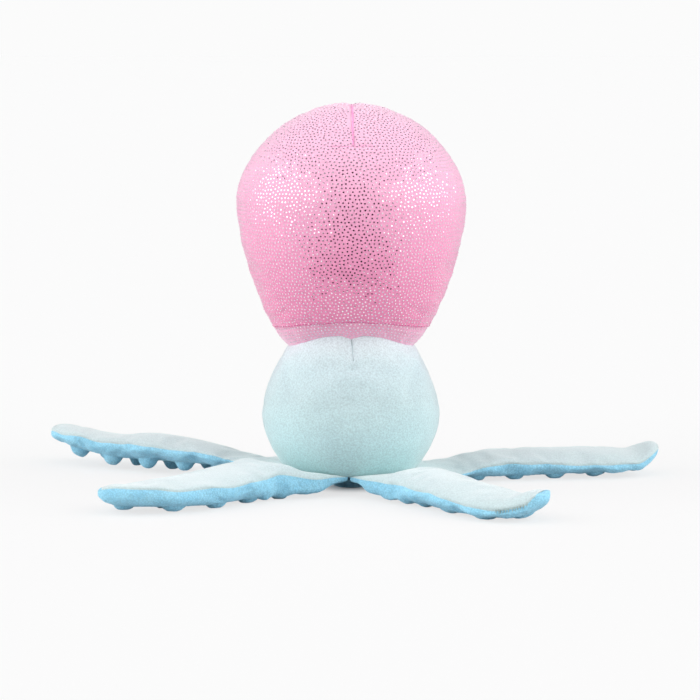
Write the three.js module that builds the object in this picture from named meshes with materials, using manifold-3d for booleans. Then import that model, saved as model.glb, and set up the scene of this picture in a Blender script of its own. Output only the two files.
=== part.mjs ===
// Plush squid dog toy: a stuffed mantle on a round head, over four tentacles with stuffed suckers.
// Millimetres, +Z up. The origin is the centre of the flat foot on which the toy rests.
// The back of the toy faces -Y. Its front, with the eyes, faces +Y.
import * as THREE from "three";
import { mergeVertices } from "three/addons/utils/BufferGeometryUtils.js";
import Module from "manifold-3d";

const wasm = await Module();
wasm.setup();
const { degToRad, lerp, smoothstep } = THREE.MathUtils;

// Cloth and clearances
const CLOTH = 1.2;
const SEAM_GAP = 0.3;
const FILL_GAP = 0.4;
const FLOOR_GAP = 0.1;

// Base panel: a shallow fleece bowl with a flat foot
const FOOT_RADIUS = 9;
const BASE_DEPTH = 10.5;
const BASE_SEAM_RADIUS = 36.5;

// Head ball, from the base seam up to the neck seam
const HEAD_RADIUS = 50;
const HEAD_LOWER_HEIGHT = 32;
const HEAD_UPPER_HEIGHT = 38.5;
const HEAD_LOWER_BEND = 1.8;
const HEAD_UPPER_BEND = 1.65;

// Neck: both seams ride higher at the back and front than at the sides
const NECK_RADIUS = 35.2;
const NECK_RISE = 9;
const BAND_HEIGHT = 10.5;
const CREASE_RADIUS = 44.2;
const CREASE_RISE = 5.8;
const NECK_DOME_RADIUS = 30.6;
const NECK_DOME_GAP = 1.6;
const NECK_SHOULDER_DROP = 5;
const HEAD_FILL_MARGIN = 4;

// Mantle, from the crease up to the crown
const MANTLE_RADIUS = 64.4;
const MANTLE_HALF_DEPTH = 60;
const MANTLE_LOWER_HEIGHT = 71.6;
const MANTLE_UPPER_HEIGHT = 54;
const MANTLE_LOWER_BEND = 1.85;
const MANTLE_CROWN_BEND = 1.18;
const MANTLE_FILL_START = 9;
const MANTLE_FILL_CROWN_SHARE = 0.97;

// Eyes: round patches on the front of the head
const EYE_RADIUS = 8;
const EYE_THICKNESS = 1;
const EYE_SPREAD = 42;
const EYE_HEIGHT = 10;

// Squeaker: a blown bulb with a plug and reed, buried in the mantle
const BULB_RADIUS = 22;
const BULB_HALF_HEIGHT = 17;
const BULB_WALL = 1.2;
const BULB_DROP = 10;
const MOUTH_RADIUS = 5.6;
const PLUG_FLANGE_RADIUS = 8;
const PLUG_FLANGE_HEIGHT = 2;
const PLUG_STEM_HEIGHT = 9;
const PLUG_BORE_RADIUS = 2;
const REED_WIDTH = 3;
const REED_LENGTH = 7;
const REED_THICKNESS = 0.4;

// Tentacle lengths from the root seam to the tip, and their thickness where they are fullest
const NEAR_LEFT_LENGTH = 130;
const NEAR_RIGHT_LENGTH = 124;
const FAR_RIGHT_LENGTH = 149;
const FAR_LEFT_LENGTH = 167;
const NEAR_LEFT_THICKNESS = 20;
const NEAR_RIGHT_THICKNESS = 20;
const FAR_RIGHT_THICKNESS = 15;
const FAR_LEFT_THICKNESS = 20;

// Tip lifts: how far each tentacle's tip is raised off the floor
const NEAR_LEFT_LIFT = 0;
const NEAR_RIGHT_LIFT = 5;
const FAR_RIGHT_LIFT = 6;
const FAR_LEFT_LIFT = 5;

// How far each tentacle's suckers stand out: those pressed on the floor are shallow
const NEAR_LEFT_SUCKER = 2.6;
const NEAR_RIGHT_SUCKER = 1.6;
const FAR_RIGHT_SUCKER = 2.5;
const FAR_LEFT_SUCKER = 5;

// Lengths over which each tentacle swells from its pinched root
const NEAR_LEFT_SWELL = 32;
const NEAR_RIGHT_SWELL = 39;
const FAR_RIGHT_SWELL = 59;
const FAR_LEFT_SWELL = 100;

// Lengths over which each tentacle's sole comes down from the base seam
const NEAR_LEFT_DROP = 18;
const NEAR_RIGHT_DROP = 38;
const FAR_RIGHT_DROP = 25;
const FAR_LEFT_DROP = 34;

// Tentacle section: pinched flat at the root seam, swelling to a D, rounded at the tip
const ROOT_WIDTH = 46;
const ROOT_THICKNESS = 2.8;
const ROOT_SEAT_GAP = 0.7;
const LIMB_WIDTH = 40;
const LIMB_END_THICKNESS = 11;
const SOLE_SQUARENESS = 3;
const TIP_ROUND = 34;
const END_ROUND = 12;
const TIP_WIDTH = 6;
const TIP_THICKNESS = 6;

// Shares of a tentacle's length over which it turns and leans
const ROOT_TURN_END = 0.5;
const TIP_TURN_START = 0.4;
const TIP_LEAN_START = 0.45;

// Suckers: two rows of domes along each sole, and one at the tip where the rows leave it room
const SUCKER_RADIUS = 5.6;
const SUCKER_RIM_DEPTH = 0.9;
const SUCKER_PITCH = 24;
const SUCKER_ROW_OFFSET = 8.8;
const SUCKER_ROOT_MARGIN = 20;
const SUCKER_TIP_MARGIN = 27;
const SUCKER_LAST_MARGIN = 14;
const SUCKER_LAST_ROOM = 16;
const SUCKER_STAGGER = 17;
const SUCKER_LEAN = 8;

// Each tentacle's lie: azimuth is the way it leaves the head, and the turns bend it along the floor.
// A positive lean lifts the side on the left of the tentacle's own way. Angles are in degrees.
// The seam share is how much of the thickness lies below the seam, and the lift starts at a share of the length.
// The stagger sets the suckers of the right row on from those of the left row.
const LIMBS = [
  {
    name: "near_left",
    length: NEAR_LEFT_LENGTH,
    thickness: NEAR_LEFT_THICKNESS,
    suckerHeight: NEAR_LEFT_SUCKER,
    swellLength: NEAR_LEFT_SWELL,
    dropLength: NEAR_LEFT_DROP,
    seamShare: 0.66,
    azimuth: 218,
    rootTurn: 11,
    tipTurn: -46,
    lean: -1,
    tipLean: 7,
    tipLift: NEAR_LEFT_LIFT,
    liftStart: 0.5,
    stagger: 0,
  },
  {
    name: "near_right",
    length: NEAR_RIGHT_LENGTH,
    thickness: NEAR_RIGHT_THICKNESS,
    suckerHeight: NEAR_RIGHT_SUCKER,
    swellLength: NEAR_RIGHT_SWELL,
    dropLength: NEAR_RIGHT_DROP,
    seamShare: 0.58,
    azimuth: 305,
    rootTurn: -2,
    tipTurn: 28,
    lean: -1,
    tipLean: 1,
    tipLift: NEAR_RIGHT_LIFT,
    liftStart: 0.83,
    stagger: 0,
  },
  {
    name: "far_right",
    length: FAR_RIGHT_LENGTH,
    thickness: FAR_RIGHT_THICKNESS,
    suckerHeight: FAR_RIGHT_SUCKER,
    swellLength: FAR_RIGHT_SWELL,
    dropLength: FAR_RIGHT_DROP,
    seamShare: 0.56,
    azimuth: 24,
    rootTurn: -16,
    tipTurn: 4,
    lean: 1,
    tipLean: 4,
    tipLift: FAR_RIGHT_LIFT,
    liftStart: 0.88,
    stagger: SUCKER_STAGGER,
  },
  {
    name: "far_left",
    length: FAR_LEFT_LENGTH,
    thickness: FAR_LEFT_THICKNESS,
    suckerHeight: FAR_LEFT_SUCKER,
    swellLength: FAR_LEFT_SWELL,
    dropLength: FAR_LEFT_DROP,
    seamShare: 0.53,
    azimuth: 150,
    rootTurn: 7,
    tipTurn: -16,
    lean: 8,
    tipLean: 10,
    tipLift: FAR_LEFT_LIFT,
    liftStart: 0.66,
    stagger: SUCKER_STAGGER,
  },
];

// Facets
const ROUND_STEPS = 24;
const ROW_STEPS = 7;
const BOWL_STEPS = 3;
const LIMB_STATIONS = 11;
const TOP_STEPS = 4;
const SOLE_STEPS = 6;
const SUCKER_SIDES = 6;
const WALK_STEPS = 12;
const FILL_STEPS = 8;
const BULB_STEPS = 8;
const SOCKET_ROWS = 14;
const EYE_SIDES = 16;

// Heights that follow from the sizes above
const HEAD_WIDEST_Z = BASE_DEPTH + HEAD_LOWER_HEIGHT;
const NECK_Z = HEAD_WIDEST_Z + HEAD_UPPER_HEIGHT;
const CREASE_Z = NECK_Z + BAND_HEIGHT;
const MANTLE_WIDEST_Z = CREASE_Z + MANTLE_LOWER_HEIGHT;
const NECK_PIVOT_Z = NECK_Z + NECK_RISE / 2;
const LIMB_HINGE_RADIUS = BASE_SEAM_RADIUS + CLOTH + ROOT_SEAT_GAP;
const headHeight = HEAD_LOWER_HEIGHT + HEAD_UPPER_HEIGHT;

// Closed geometry from shared vertices, without empty triangles and with its faces outwards.
function closedGeometry(source) {
  const plain = new THREE.BufferGeometry();
  plain.setAttribute("position", source.getAttribute("position"));
  plain.setIndex(source.index);
  const merged = mergeVertices(plain, 1e-4);
  const corners = merged.index.array;
  const kept = [];
  for (let i = 0; i < corners.length; i += 3) {
    const [a, b, c] = corners.slice(i, i + 3);
    if (a !== b && b !== c && c !== a) kept.push(a, b, c);
  }
  merged.setIndex(kept);
  if (signedVolume(merged) < 0) merged.setIndex(kept.reverse());
  return merged;
}

function signedVolume(geometry) {
  const place = geometry.getAttribute("position");
  const corner = [new THREE.Vector3(), new THREE.Vector3(), new THREE.Vector3()];
  let total = 0;
  for (let i = 0; i < geometry.index.count; i += 3) {
    corner.forEach((point, k) => point.fromBufferAttribute(place, geometry.index.getX(i + k)));
    total += corner[0].dot(corner[1].clone().cross(corner[2])) / 6;
  }
  return total;
}

function geometryFrom(points, triangles) {
  const geometry = new THREE.BufferGeometry().setFromPoints(points);
  geometry.setIndex(triangles);
  return closedGeometry(geometry);
}

// Two triangles for the quad a, b, c, d.
const quad = (a, b, c, d) => [a, b, c, a, c, d];

// A solid through rings of equally many points: capped at both ends, or joined end to end.
function loftSolid(rings, endless = false) {
  const count = rings[0].length;
  const points = rings.flat();
  const triangles = [];
  const spans = endless ? rings.length : rings.length - 1;
  for (let i = 0; i < spans; i++) {
    const here = i * count;
    const there = ((i + 1) % rings.length) * count;
    for (let j = 0; j < count; j++) {
      const next = (j + 1) % count;
      triangles.push(...quad(here + j, here + next, there + next, there + j));
    }
  }
  if (!endless) {
    const last = (rings.length - 1) * count;
    for (const [first, ring, turn] of [[0, rings[0], 1], [last, rings.at(-1), 0]]) {
      const centre = points.length;
      points.push(ring.reduce((sum, point) => sum.add(point), new THREE.Vector3()).divideScalar(count));
      for (let j = 0; j < count; j++) {
        const pair = [first + j, first + ((j + 1) % count)];
        triangles.push(centre, pair[turn], pair[1 - turn]);
      }
    }
  }
  return geometryFrom(points, triangles);
}

// A panel of cloth between an outer and an inner grid of points, closed round its border.
function sheetSolid(outer, inner) {
  const rows = outer.length;
  const columns = outer[0].length;
  const points = [...outer.flat(), ...inner.flat()];
  const out = (i, j) => i * columns + j;
  const back = (i, j) => rows * columns + out(i, j);
  const triangles = [];
  for (let i = 0; i + 1 < rows; i++) {
    for (let j = 0; j + 1 < columns; j++) {
      triangles.push(...quad(out(i, j), out(i, j + 1), out(i + 1, j + 1), out(i + 1, j)));
      triangles.push(...quad(back(i, j), back(i + 1, j), back(i + 1, j + 1), back(i, j + 1)));
    }
    const end = columns - 1;
    triangles.push(...quad(out(i, 0), out(i + 1, 0), back(i + 1, 0), back(i, 0)));
    triangles.push(...quad(out(i, end), back(i, end), back(i + 1, end), out(i + 1, end)));
  }
  for (let j = 0; j + 1 < columns; j++) {
    const end = rows - 1;
    triangles.push(...quad(out(0, j), back(0, j), back(0, j + 1), out(0, j + 1)));
    triangles.push(...quad(out(end, j), out(end, j + 1), back(end, j + 1), back(end, j)));
  }
  return geometryFrom(points, triangles);
}

// A turned solid: the profile is a list of [radius, height] that starts and ends on the axis or closes.
function turnedSolid(profile, steps) {
  const lathe = new THREE.LatheGeometry(profile.map(([r, z]) => new THREE.Vector2(r, z)), steps);
  return closedGeometry(lathe.rotateX(Math.PI / 2));
}

function toManifold(geometry) {
  return new wasm.Manifold(
    new wasm.Mesh({
      numProp: 3,
      vertProperties: new Float32Array(geometry.getAttribute("position").array),
      triVerts: new Uint32Array(geometry.index.array),
    }),
  );
}

function fromManifold(solid) {
  const { vertProperties, triVerts } = solid.getMesh();
  const geometry = new THREE.BufferGeometry();
  geometry.setAttribute("position", new THREE.BufferAttribute(vertProperties, 3));
  geometry.setIndex(new THREE.BufferAttribute(triVerts, 1));
  return geometry;
}

const joined = (body, extras) =>
  fromManifold(extras.reduce((sum, extra) => sum.add(toManifold(extra)), toManifold(body)));

const cut = (body, cutters) =>
  fromManifold(cutters.reduce((rest, cutter) => rest.subtract(toManifold(cutter)), toManifold(body)));

const steps = (count) => Array.from({ length: count + 1 }, (_, i) => i / count);

// The profile moved inwards by a wall's thickness, square to its own direction.
function insetProfile(profile, share, inset) {
  const [r, z] = profile(share);
  const [r0, z0] = profile(Math.max(share - 1e-3, 0));
  const [r1, z1] = profile(Math.min(share + 1e-3, 1));
  const length = Math.hypot(r1 - r0, z1 - z0);
  return [Math.max(r - (inset * (z1 - z0)) / length, 0), z + (inset * (r1 - r0)) / length];
}

// Head profile from the base seam, share 0, to the neck seam, share 1.
function headProfile(share) {
  const z = BASE_DEPTH + share * headHeight;
  const below = (HEAD_WIDEST_Z - z) / HEAD_LOWER_HEIGHT;
  const above = (z - HEAD_WIDEST_Z) / HEAD_UPPER_HEIGHT;
  if (z < HEAD_WIDEST_Z) return [lerp(HEAD_RADIUS, BASE_SEAM_RADIUS, below ** HEAD_LOWER_BEND), z];
  return [lerp(HEAD_RADIUS, NECK_RADIUS, above ** HEAD_UPPER_BEND), z];
}

// Mantle profile from the crease, share 0, through its widest place, share one half, to the crown.
function mantleProfile(share) {
  if (share < 0.5) {
    const up = share * 2;
    const draw = (1 - up) ** MANTLE_LOWER_BEND;
    return [lerp(MANTLE_RADIUS, CREASE_RADIUS, draw), CREASE_Z + up * MANTLE_LOWER_HEIGHT];
  }
  const turn = (share - 0.5) * Math.PI;
  const up = Math.sin(turn) ** MANTLE_CROWN_BEND;
  return [MANTLE_RADIUS * Math.cos(turn), MANTLE_WIDEST_Z + up * MANTLE_UPPER_HEIGHT];
}

// How far a seam stands above its height at the sides, at an angle from +X.
const saddle = (rise, angle) => rise * Math.sin(angle) ** 2;

// A point of the head or mantle. A half cover stands off the side seam plane by half the seam's gap.
function headPoint(share, angle, inset, standOff = 0) {
  const [r, z] = insetProfile(headProfile, share, inset);
  const lift = saddle(NECK_RISE, angle) * Math.max(0, share * 2 - 1) ** 2;
  const y = r * Math.sin(angle);
  return new THREE.Vector3(r * Math.cos(angle), y + standOff, z + lift);
}

function mantlePoint(share, angle, inset, standOff = 0) {
  const [r, z] = insetProfile(mantleProfile, share, inset);
  const lift = saddle(CREASE_RISE, angle) * Math.max(0, 1 - share * 2) ** 2;
  const flatness = lerp(1, MANTLE_HALF_DEPTH / MANTLE_RADIUS, smoothstep(share, 0, 0.5));
  return new THREE.Vector3(r * Math.cos(angle), r * flatness * Math.sin(angle) + standOff, z + lift);
}

// One half of a ball's cover: side is 1 for the front half and -1 for the back half.
function halfCover(point, shares, side) {
  const angles = steps(ROUND_STEPS / 2).map((t) => side * t * Math.PI);
  const grid = (inset) => shares.map((s) => angles.map((a) => point(s, a, inset, (side * SEAM_GAP) / 2)));
  return sheetSolid(grid(0), grid(CLOTH));
}

const ringAngles = steps(ROUND_STEPS).slice(0, -1).map((t) => t * 2 * Math.PI);

// Shares along a profile with a seam's gap left free at the lower and upper edge.
function sharesBetween(count, height, gapBelow, gapAbove) {
  return steps(count).map((t) => lerp(gapBelow / height, 1 - gapAbove / height, t));
}

// The bowl under the head: from the flat foot it rises to lie nearly level at the base seam.
function bowlProfile(rimRadius, above) {
  const rise = BASE_DEPTH - SEAM_GAP - CLOTH;
  return steps(BOWL_STEPS).map((t) => [lerp(FOOT_RADIUS, rimRadius, t), rise * (1 - (1 - t) ** 2) + above]);
}

function basePanel() {
  const outside = bowlProfile(BASE_SEAM_RADIUS, 0);
  const inside = bowlProfile(BASE_SEAM_RADIUS, CLOTH).reverse();
  return turnedSolid([[0, 0], ...outside, ...inside, [0, CLOTH]], ROUND_STEPS);
}

// Head stuffing: fills the ball and ends in a dome about the neck's pivot.
function headFill() {
  const inset = CLOTH + FILL_GAP;
  const lower = [[0, inset], ...bowlProfile(BASE_SEAM_RADIUS - 2 * inset, inset)];
  const shares = sharesBetween(FILL_STEPS, headHeight, HEAD_FILL_MARGIN, NECK_SHOULDER_DROP);
  const side = shares.map((share) => insetProfile(headProfile, share, inset));
  const dome = steps(FILL_STEPS).map((t) => [
    NECK_DOME_RADIUS * Math.cos((t * Math.PI) / 2),
    NECK_PIVOT_Z + NECK_DOME_RADIUS * Math.sin((t * Math.PI) / 2),
  ]);
  return turnedSolid([...lower, ...side, ...dome], ROUND_STEPS);
}

// Neck band: the hem between the neck seam and the crease.
function neckBand() {
  const sections = ringAngles.map((angle) => {
    const low = NECK_Z + saddle(NECK_RISE, angle) + SEAM_GAP;
    const high = CREASE_Z + saddle(CREASE_RISE, angle) - SEAM_GAP;
    const edge = (t, inset) => {
      const r = lerp(NECK_RADIUS, CREASE_RADIUS, t) - inset;
      return new THREE.Vector3(r * Math.cos(angle), r * Math.sin(angle), lerp(low, high, t));
    };
    return [edge(0, 0), edge(0.5, -SEAM_GAP), edge(1, 0), edge(1, CLOTH), edge(0.5, CLOTH), edge(0, CLOTH)];
  });
  return loftSolid(sections, true);
}

// Squeaker pieces, about the bulb's centre, with the mouth downwards.
function bulbArc(radius, halfHeight) {
  const mouth = Math.acos(MOUTH_RADIUS / radius);
  return steps(BULB_STEPS).map((t) => {
    const turn = lerp(-mouth, Math.PI / 2, t);
    return [radius * Math.cos(turn), halfHeight * Math.sin(turn)];
  });
}

function squeakerBulb() {
  const outside = bulbArc(BULB_RADIUS, BULB_HALF_HEIGHT);
  const inside = bulbArc(BULB_RADIUS - BULB_WALL, BULB_HALF_HEIGHT - BULB_WALL).reverse();
  return turnedSolid([...outside, ...inside, outside[0]], ROUND_STEPS / 2);
}

const mouthZ = bulbArc(BULB_RADIUS, BULB_HALF_HEIGHT)[0][1];
const plugZ = mouthZ - SEAM_GAP - PLUG_FLANGE_HEIGHT;

function squeakerPlug() {
  const stem = MOUTH_RADIUS - SEAM_GAP;
  const profile = [
    [PLUG_BORE_RADIUS, plugZ],
    [PLUG_FLANGE_RADIUS, plugZ],
    [PLUG_FLANGE_RADIUS, plugZ + PLUG_FLANGE_HEIGHT],
    [stem, plugZ + PLUG_FLANGE_HEIGHT],
    [stem, plugZ + PLUG_STEM_HEIGHT],
    [PLUG_BORE_RADIUS, plugZ + PLUG_STEM_HEIGHT],
    [PLUG_BORE_RADIUS, plugZ],
  ];
  return turnedSolid(profile, ROUND_STEPS / 2);
}

function squeakerReed() {
  const reed = new THREE.BoxGeometry(REED_LENGTH, REED_WIDTH, REED_THICKNESS);
  return reed.translate(0, 0, plugZ + PLUG_STEM_HEIGHT + SEAM_GAP + REED_THICKNESS / 2);
}

const squeakerZ = MANTLE_WIDEST_Z - BULB_DROP;

// Mantle stuffing: hollow over the neck dome, with a pocket for the squeaker that opens downwards.
function mantleFill() {
  const first = MANTLE_FILL_START / MANTLE_LOWER_HEIGHT / 2;
  const inset = CLOTH + FILL_GAP;
  const rings = steps(ROW_STEPS * 2 - 3)
    .map((t) => lerp(first, MANTLE_FILL_CROWN_SHARE, t))
    .map((share) => ringAngles.map((angle) => mantlePoint(share, angle, inset)));
  const socketRadius = NECK_DOME_RADIUS + NECK_DOME_GAP;
  const socket = closedGeometry(new THREE.SphereGeometry(socketRadius, ROUND_STEPS, SOCKET_ROWS));
  const channel = PLUG_FLANGE_RADIUS + FILL_GAP;
  const wide = BULB_RADIUS + FILL_GAP;
  const pocketArc = steps(BULB_STEPS).map((t) => {
    const turn = lerp(Math.PI / 2, -Math.acos(channel / wide), t);
    return [wide * Math.cos(turn), squeakerZ + (BULB_HALF_HEIGHT + FILL_GAP) * Math.sin(turn)];
  });
  const pocket = turnedSolid([...pocketArc, [channel, NECK_PIVOT_Z], [0, NECK_PIVOT_Z]], ROUND_STEPS / 2);
  return cut(loftSolid(rings), [socket.translate(0, 0, NECK_PIVOT_Z), pocket]);
}

// An eye: a round patch that lies on the front of the head, a seam's gap off the cloth.
function eyePatch(side) {
  const share = (HEAD_LOWER_HEIGHT + EYE_HEIGHT) / headHeight;
  const centre = Math.PI / 2 - (side * EYE_SPREAD) / 2 / HEAD_RADIUS;
  const ring = (radius, lift) =>
    steps(EYE_SIDES).slice(0, -1).map((t) => {
      const turn = t * 2 * Math.PI;
      const across = (radius * Math.cos(turn)) / HEAD_RADIUS;
      return headPoint(share + (radius * Math.sin(turn)) / headHeight, centre + across, -lift);
    });
  const low = SEAM_GAP;
  const high = SEAM_GAP + EYE_THICKNESS;
  const half = EYE_RADIUS / 2;
  return loftSolid([ring(half, low), ring(EYE_RADIUS, low), ring(EYE_RADIUS, high), ring(half, high)]);
}

// The share of a size that is left at a distance from an end that is rounded over a length.
function roundedEnd(distance, length) {
  const round = Math.max(0, 1 - distance / length);
  return Math.sqrt(Math.max(0, 1 - round ** 2));
}

// Stations along a tentacle in its own frame: the root hinge is the origin and +X leads away from the head.
function limbStations(limb) {
  const heading = (t) => {
    const rootTurn = limb.rootTurn * smoothstep(t, 0, ROOT_TURN_END);
    const tipTurn = limb.tipTurn * smoothstep(t, TIP_TURN_START, 1);
    return degToRad(rootTurn + tipTurn);
  };
  const floor = FLOOR_GAP + limb.suckerHeight - BASE_DEPTH;
  const place = new THREE.Vector2();
  let walked = 0;
  return steps(LIMB_STATIONS).map((i) => {
    const t = (1 - Math.cos(i * Math.PI)) / 2;
    const stride = (t - walked) / WALK_STEPS;
    for (let k = 0; k < WALK_STEPS; k++) {
      const turn = heading(walked + stride / 2);
      place.x += limb.length * stride * Math.cos(turn);
      place.y += limb.length * stride * Math.sin(turn);
      walked += stride;
    }
    const along = t * limb.length;
    const swell = smoothstep(along, 0, limb.swellLength);
    const drop = smoothstep(along, 0, limb.dropLength);
    const taper = roundedEnd(limb.length - along, TIP_ROUND);
    const endTaper = roundedEnd(limb.length - along, END_ROUND);
    const width = lerp(ROOT_WIDTH, LIMB_WIDTH, swell);
    const thick = lerp(ROOT_THICKNESS, lerp(limb.thickness, LIMB_END_THICKNESS, t), swell);
    const turn = heading(t);
    const lean = degToRad(lerp(limb.lean, limb.tipLean, smoothstep(t, TIP_LEAN_START, 1))) * drop;
    const forward = new THREE.Vector3(Math.cos(turn), Math.sin(turn), 0);
    const side = new THREE.Vector3(-forward.y, forward.x, 0).applyAxisAngle(forward, lean);
    const leanLift = SUCKER_ROW_OFFSET * Math.sin(Math.abs(lean));
    const lift = leanLift + limb.tipLift * smoothstep(t, limb.liftStart, 1);
    const crown = lerp(TIP_THICKNESS, thick, endTaper);
    const z = lerp(-ROOT_THICKNESS / 2, floor, drop) + lift + limb.seamShare * (thick - crown);
    return {
      along,
      side,
      up: forward.clone().cross(side),
      place: new THREE.Vector3(place.x, place.y, z),
      halfWidth: lerp(TIP_WIDTH, width, taper) / 2,
      crown,
      seam: crown * limb.seamShare,
    };
  });
}

const power = (value, exponent) => Math.sign(value) * Math.abs(value) ** exponent;

// A point of a tentacle's station, across and above the middle of its sole.
function stationPoint({ place, side, up }, across, above) {
  return place.clone().addScaledVector(side, across).addScaledVector(up, above);
}

// The mint arch over a station, seam to seam.
function topArc(station, inset, gap) {
  const seam = station.seam;
  return steps(TOP_STEPS).map((t) => {
    const turn = lerp(-Math.PI / 2, Math.PI / 2, t);
    const across = (station.halfWidth - inset) * Math.sin(turn);
    return stationPoint(station, across, seam + gap + (station.crown - seam - gap - inset) * Math.cos(turn));
  });
}

// The fleece under a station, from seam back to seam: nearly flat below, with full sides.
function soleArc(station, inset, gap) {
  const seam = station.seam - gap;
  return steps(SOLE_STEPS).map((t) => {
    const turn = lerp(Math.PI / 2, -Math.PI / 2, t);
    const across = (station.halfWidth - inset) * power(Math.sin(turn), 2 / SOLE_SQUARENESS);
    return stationPoint(station, across, seam - (seam - inset) * power(Math.cos(turn), 2 / SOLE_SQUARENESS));
  });
}

function limbTop(stations) {
  return sheetSolid(
    stations.map((station) => topArc(station, 0, SEAM_GAP / 2)),
    stations.map((station) => topArc(station, CLOTH, SEAM_GAP / 2)),
  );
}

// The inside of a tentacle, a distance in from its outer face.
function limbCore(stations, inset) {
  const ring = (station) => [...topArc(station, inset, 0), ...soleArc(station, inset, 0).slice(1, -1)];
  return loftSolid(stations.map(ring));
}

// A sucker: a dome that hangs from the sole, with its rim sunk in the cloth.
function sucker(height) {
  const profile = [
    [0, -height],
    [SUCKER_RADIUS * Math.SQRT1_2, -height * Math.SQRT1_2],
    [SUCKER_RADIUS, SUCKER_RIM_DEPTH],
    [0, SUCKER_RIM_DEPTH],
  ];
  return turnedSolid(profile, SUCKER_SIDES);
}

// The frame of the sole at a distance along a tentacle, between two stations of the list.
function soleFrame(stations, along, across, lean) {
  const after = stations.findIndex((station) => station.along > along);
  const [a, b] = [stations[after - 1], stations[after]];
  const t = (along - a.along) / (b.along - a.along);
  const side = a.side.clone().lerp(b.side, t).normalize();
  const middle = stationPoint(a, 0, 0).lerp(stationPoint(b, 0, 0), t);
  const forward = stationPoint(b, 0, 0).sub(stationPoint(a, 0, 0)).projectOnPlane(side).normalize();
  const frame = new THREE.Matrix4().makeBasis(forward, side, forward.clone().cross(side));
  frame.setPosition(middle.addScaledVector(side, across));
  return frame.multiply(new THREE.Matrix4().makeRotationX(degToRad(lean)));
}

// Where a tentacle's suckers sit: the left row is 1, the right row -1 and the tip's own 0.
function suckerSpots({ length, stagger }) {
  const spots = [];
  for (const [row, start] of [[1, SUCKER_ROOT_MARGIN], [-1, SUCKER_ROOT_MARGIN + stagger]]) {
    for (let along = start; along <= length - SUCKER_TIP_MARGIN; along += SUCKER_PITCH) spots.push({ along, row });
  }
  const reached = Math.max(...spots.map(({ along }) => along));
  const last = length - SUCKER_LAST_MARGIN;
  if (last - reached > SUCKER_LAST_ROOM) spots.push({ along: last, row: 0 });
  return spots;
}

function limbSole(stations, limb) {
  const panel = sheetSolid(
    stations.map((station) => soleArc(station, 0, SEAM_GAP / 2)),
    stations.map((station) => soleArc(station, CLOTH, SEAM_GAP / 2)),
  );
  const core = limbCore(stations, CLOTH / 2);
  const suckers = suckerSpots(limb).map(({ along, row }) => {
    const frame = soleFrame(stations, along, row * SUCKER_ROW_OFFSET, row * SUCKER_LEAN);
    return cut(sucker(limb.suckerHeight).applyMatrix4(frame), [core]);
  });
  return joined(panel, suckers);
}

// Stuffing of a tentacle: it starts where the pinched root has opened enough to hold any.
function limbFill(stations) {
  const inset = CLOTH + FILL_GAP;
  const roomy = stations.filter(({ crown, seam }) => Math.min(seam, crown - seam) > inset + FILL_GAP);
  return limbCore(roomy, inset);
}

// Colours of the cloth, thread and plastic
const cloth = (color) => new THREE.MeshStandardMaterial({ color, roughness: 0.95, metalness: 0 });
const PINK = cloth(0xf0b4d2);
const PALE_PINK = cloth(0xeac0d6);
const MINT = cloth(0xd2e4e6);
const BLUE = cloth(0x8fcbe6);
const WHITE_FIBRE = cloth(0xf4f4f2);
const DARK_THREAD = cloth(0x2b3340);
const PLASTIC = new THREE.MeshStandardMaterial({ color: 0xe8e6df, roughness: 0.45, metalness: 0 });

function piece(name, geometry, material) {
  const mesh = new THREE.Mesh(geometry, material);
  mesh.name = name;
  return mesh;
}

const headShares = sharesBetween(ROW_STEPS + 3, headHeight, SEAM_GAP, SEAM_GAP);
const mantleShares = sharesBetween(ROW_STEPS * 2, MANTLE_LOWER_HEIGHT * 2, SEAM_GAP, 0);

const toy = new THREE.Group();
toy.add(
  piece("head_back_cover", halfCover(headPoint, headShares, -1), MINT),
  piece("head_front_cover", halfCover(headPoint, headShares, 1), MINT),
  piece("head_fill", headFill(), WHITE_FIBRE),
  piece("base_panel", basePanel(), BLUE),
  piece("left_eye", eyePatch(-1), DARK_THREAD),
  piece("right_eye", eyePatch(1), DARK_THREAD),
  piece("neck_band", neckBand(), PALE_PINK),
  piece("mantle_back_cover", halfCover(mantlePoint, mantleShares, -1), PINK),
  piece("mantle_front_cover", halfCover(mantlePoint, mantleShares, 1), PINK),
  piece("mantle_fill", mantleFill(), WHITE_FIBRE),
);

const squeaker = new THREE.Group();
squeaker.position.z = squeakerZ;
squeaker.add(
  piece("squeaker_bulb", squeakerBulb(), PLASTIC),
  piece("squeaker_plug", squeakerPlug(), PLASTIC),
  piece("squeaker_reed", squeakerReed(), PLASTIC),
);
toy.add(squeaker);

for (const limb of LIMBS) {
  const turn = degToRad(limb.azimuth);
  const stations = limbStations(limb);
  const tentacle = new THREE.Group();
  tentacle.position.set(LIMB_HINGE_RADIUS * Math.cos(turn), LIMB_HINGE_RADIUS * Math.sin(turn), BASE_DEPTH);
  tentacle.rotation.z = turn;
  tentacle.add(
    piece(`${limb.name}_top_panel`, limbTop(stations), MINT),
    piece(`${limb.name}_sole_panel`, limbSole(stations, limb), BLUE),
    piece(`${limb.name}_fill`, limbFill(stations), WHITE_FIBRE),
  );
  toy.add(tentacle);
}

export default toy;
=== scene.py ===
"""Looks of the plush squid dog toy: covers, suckers, foil dots, stitches, light and camera."""
import math

import bmesh
import bpy
import numpy as np
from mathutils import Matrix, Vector, noise
from mathutils.bvhtree import BVHTree
from mathutils.kdtree import KDTree


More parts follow.
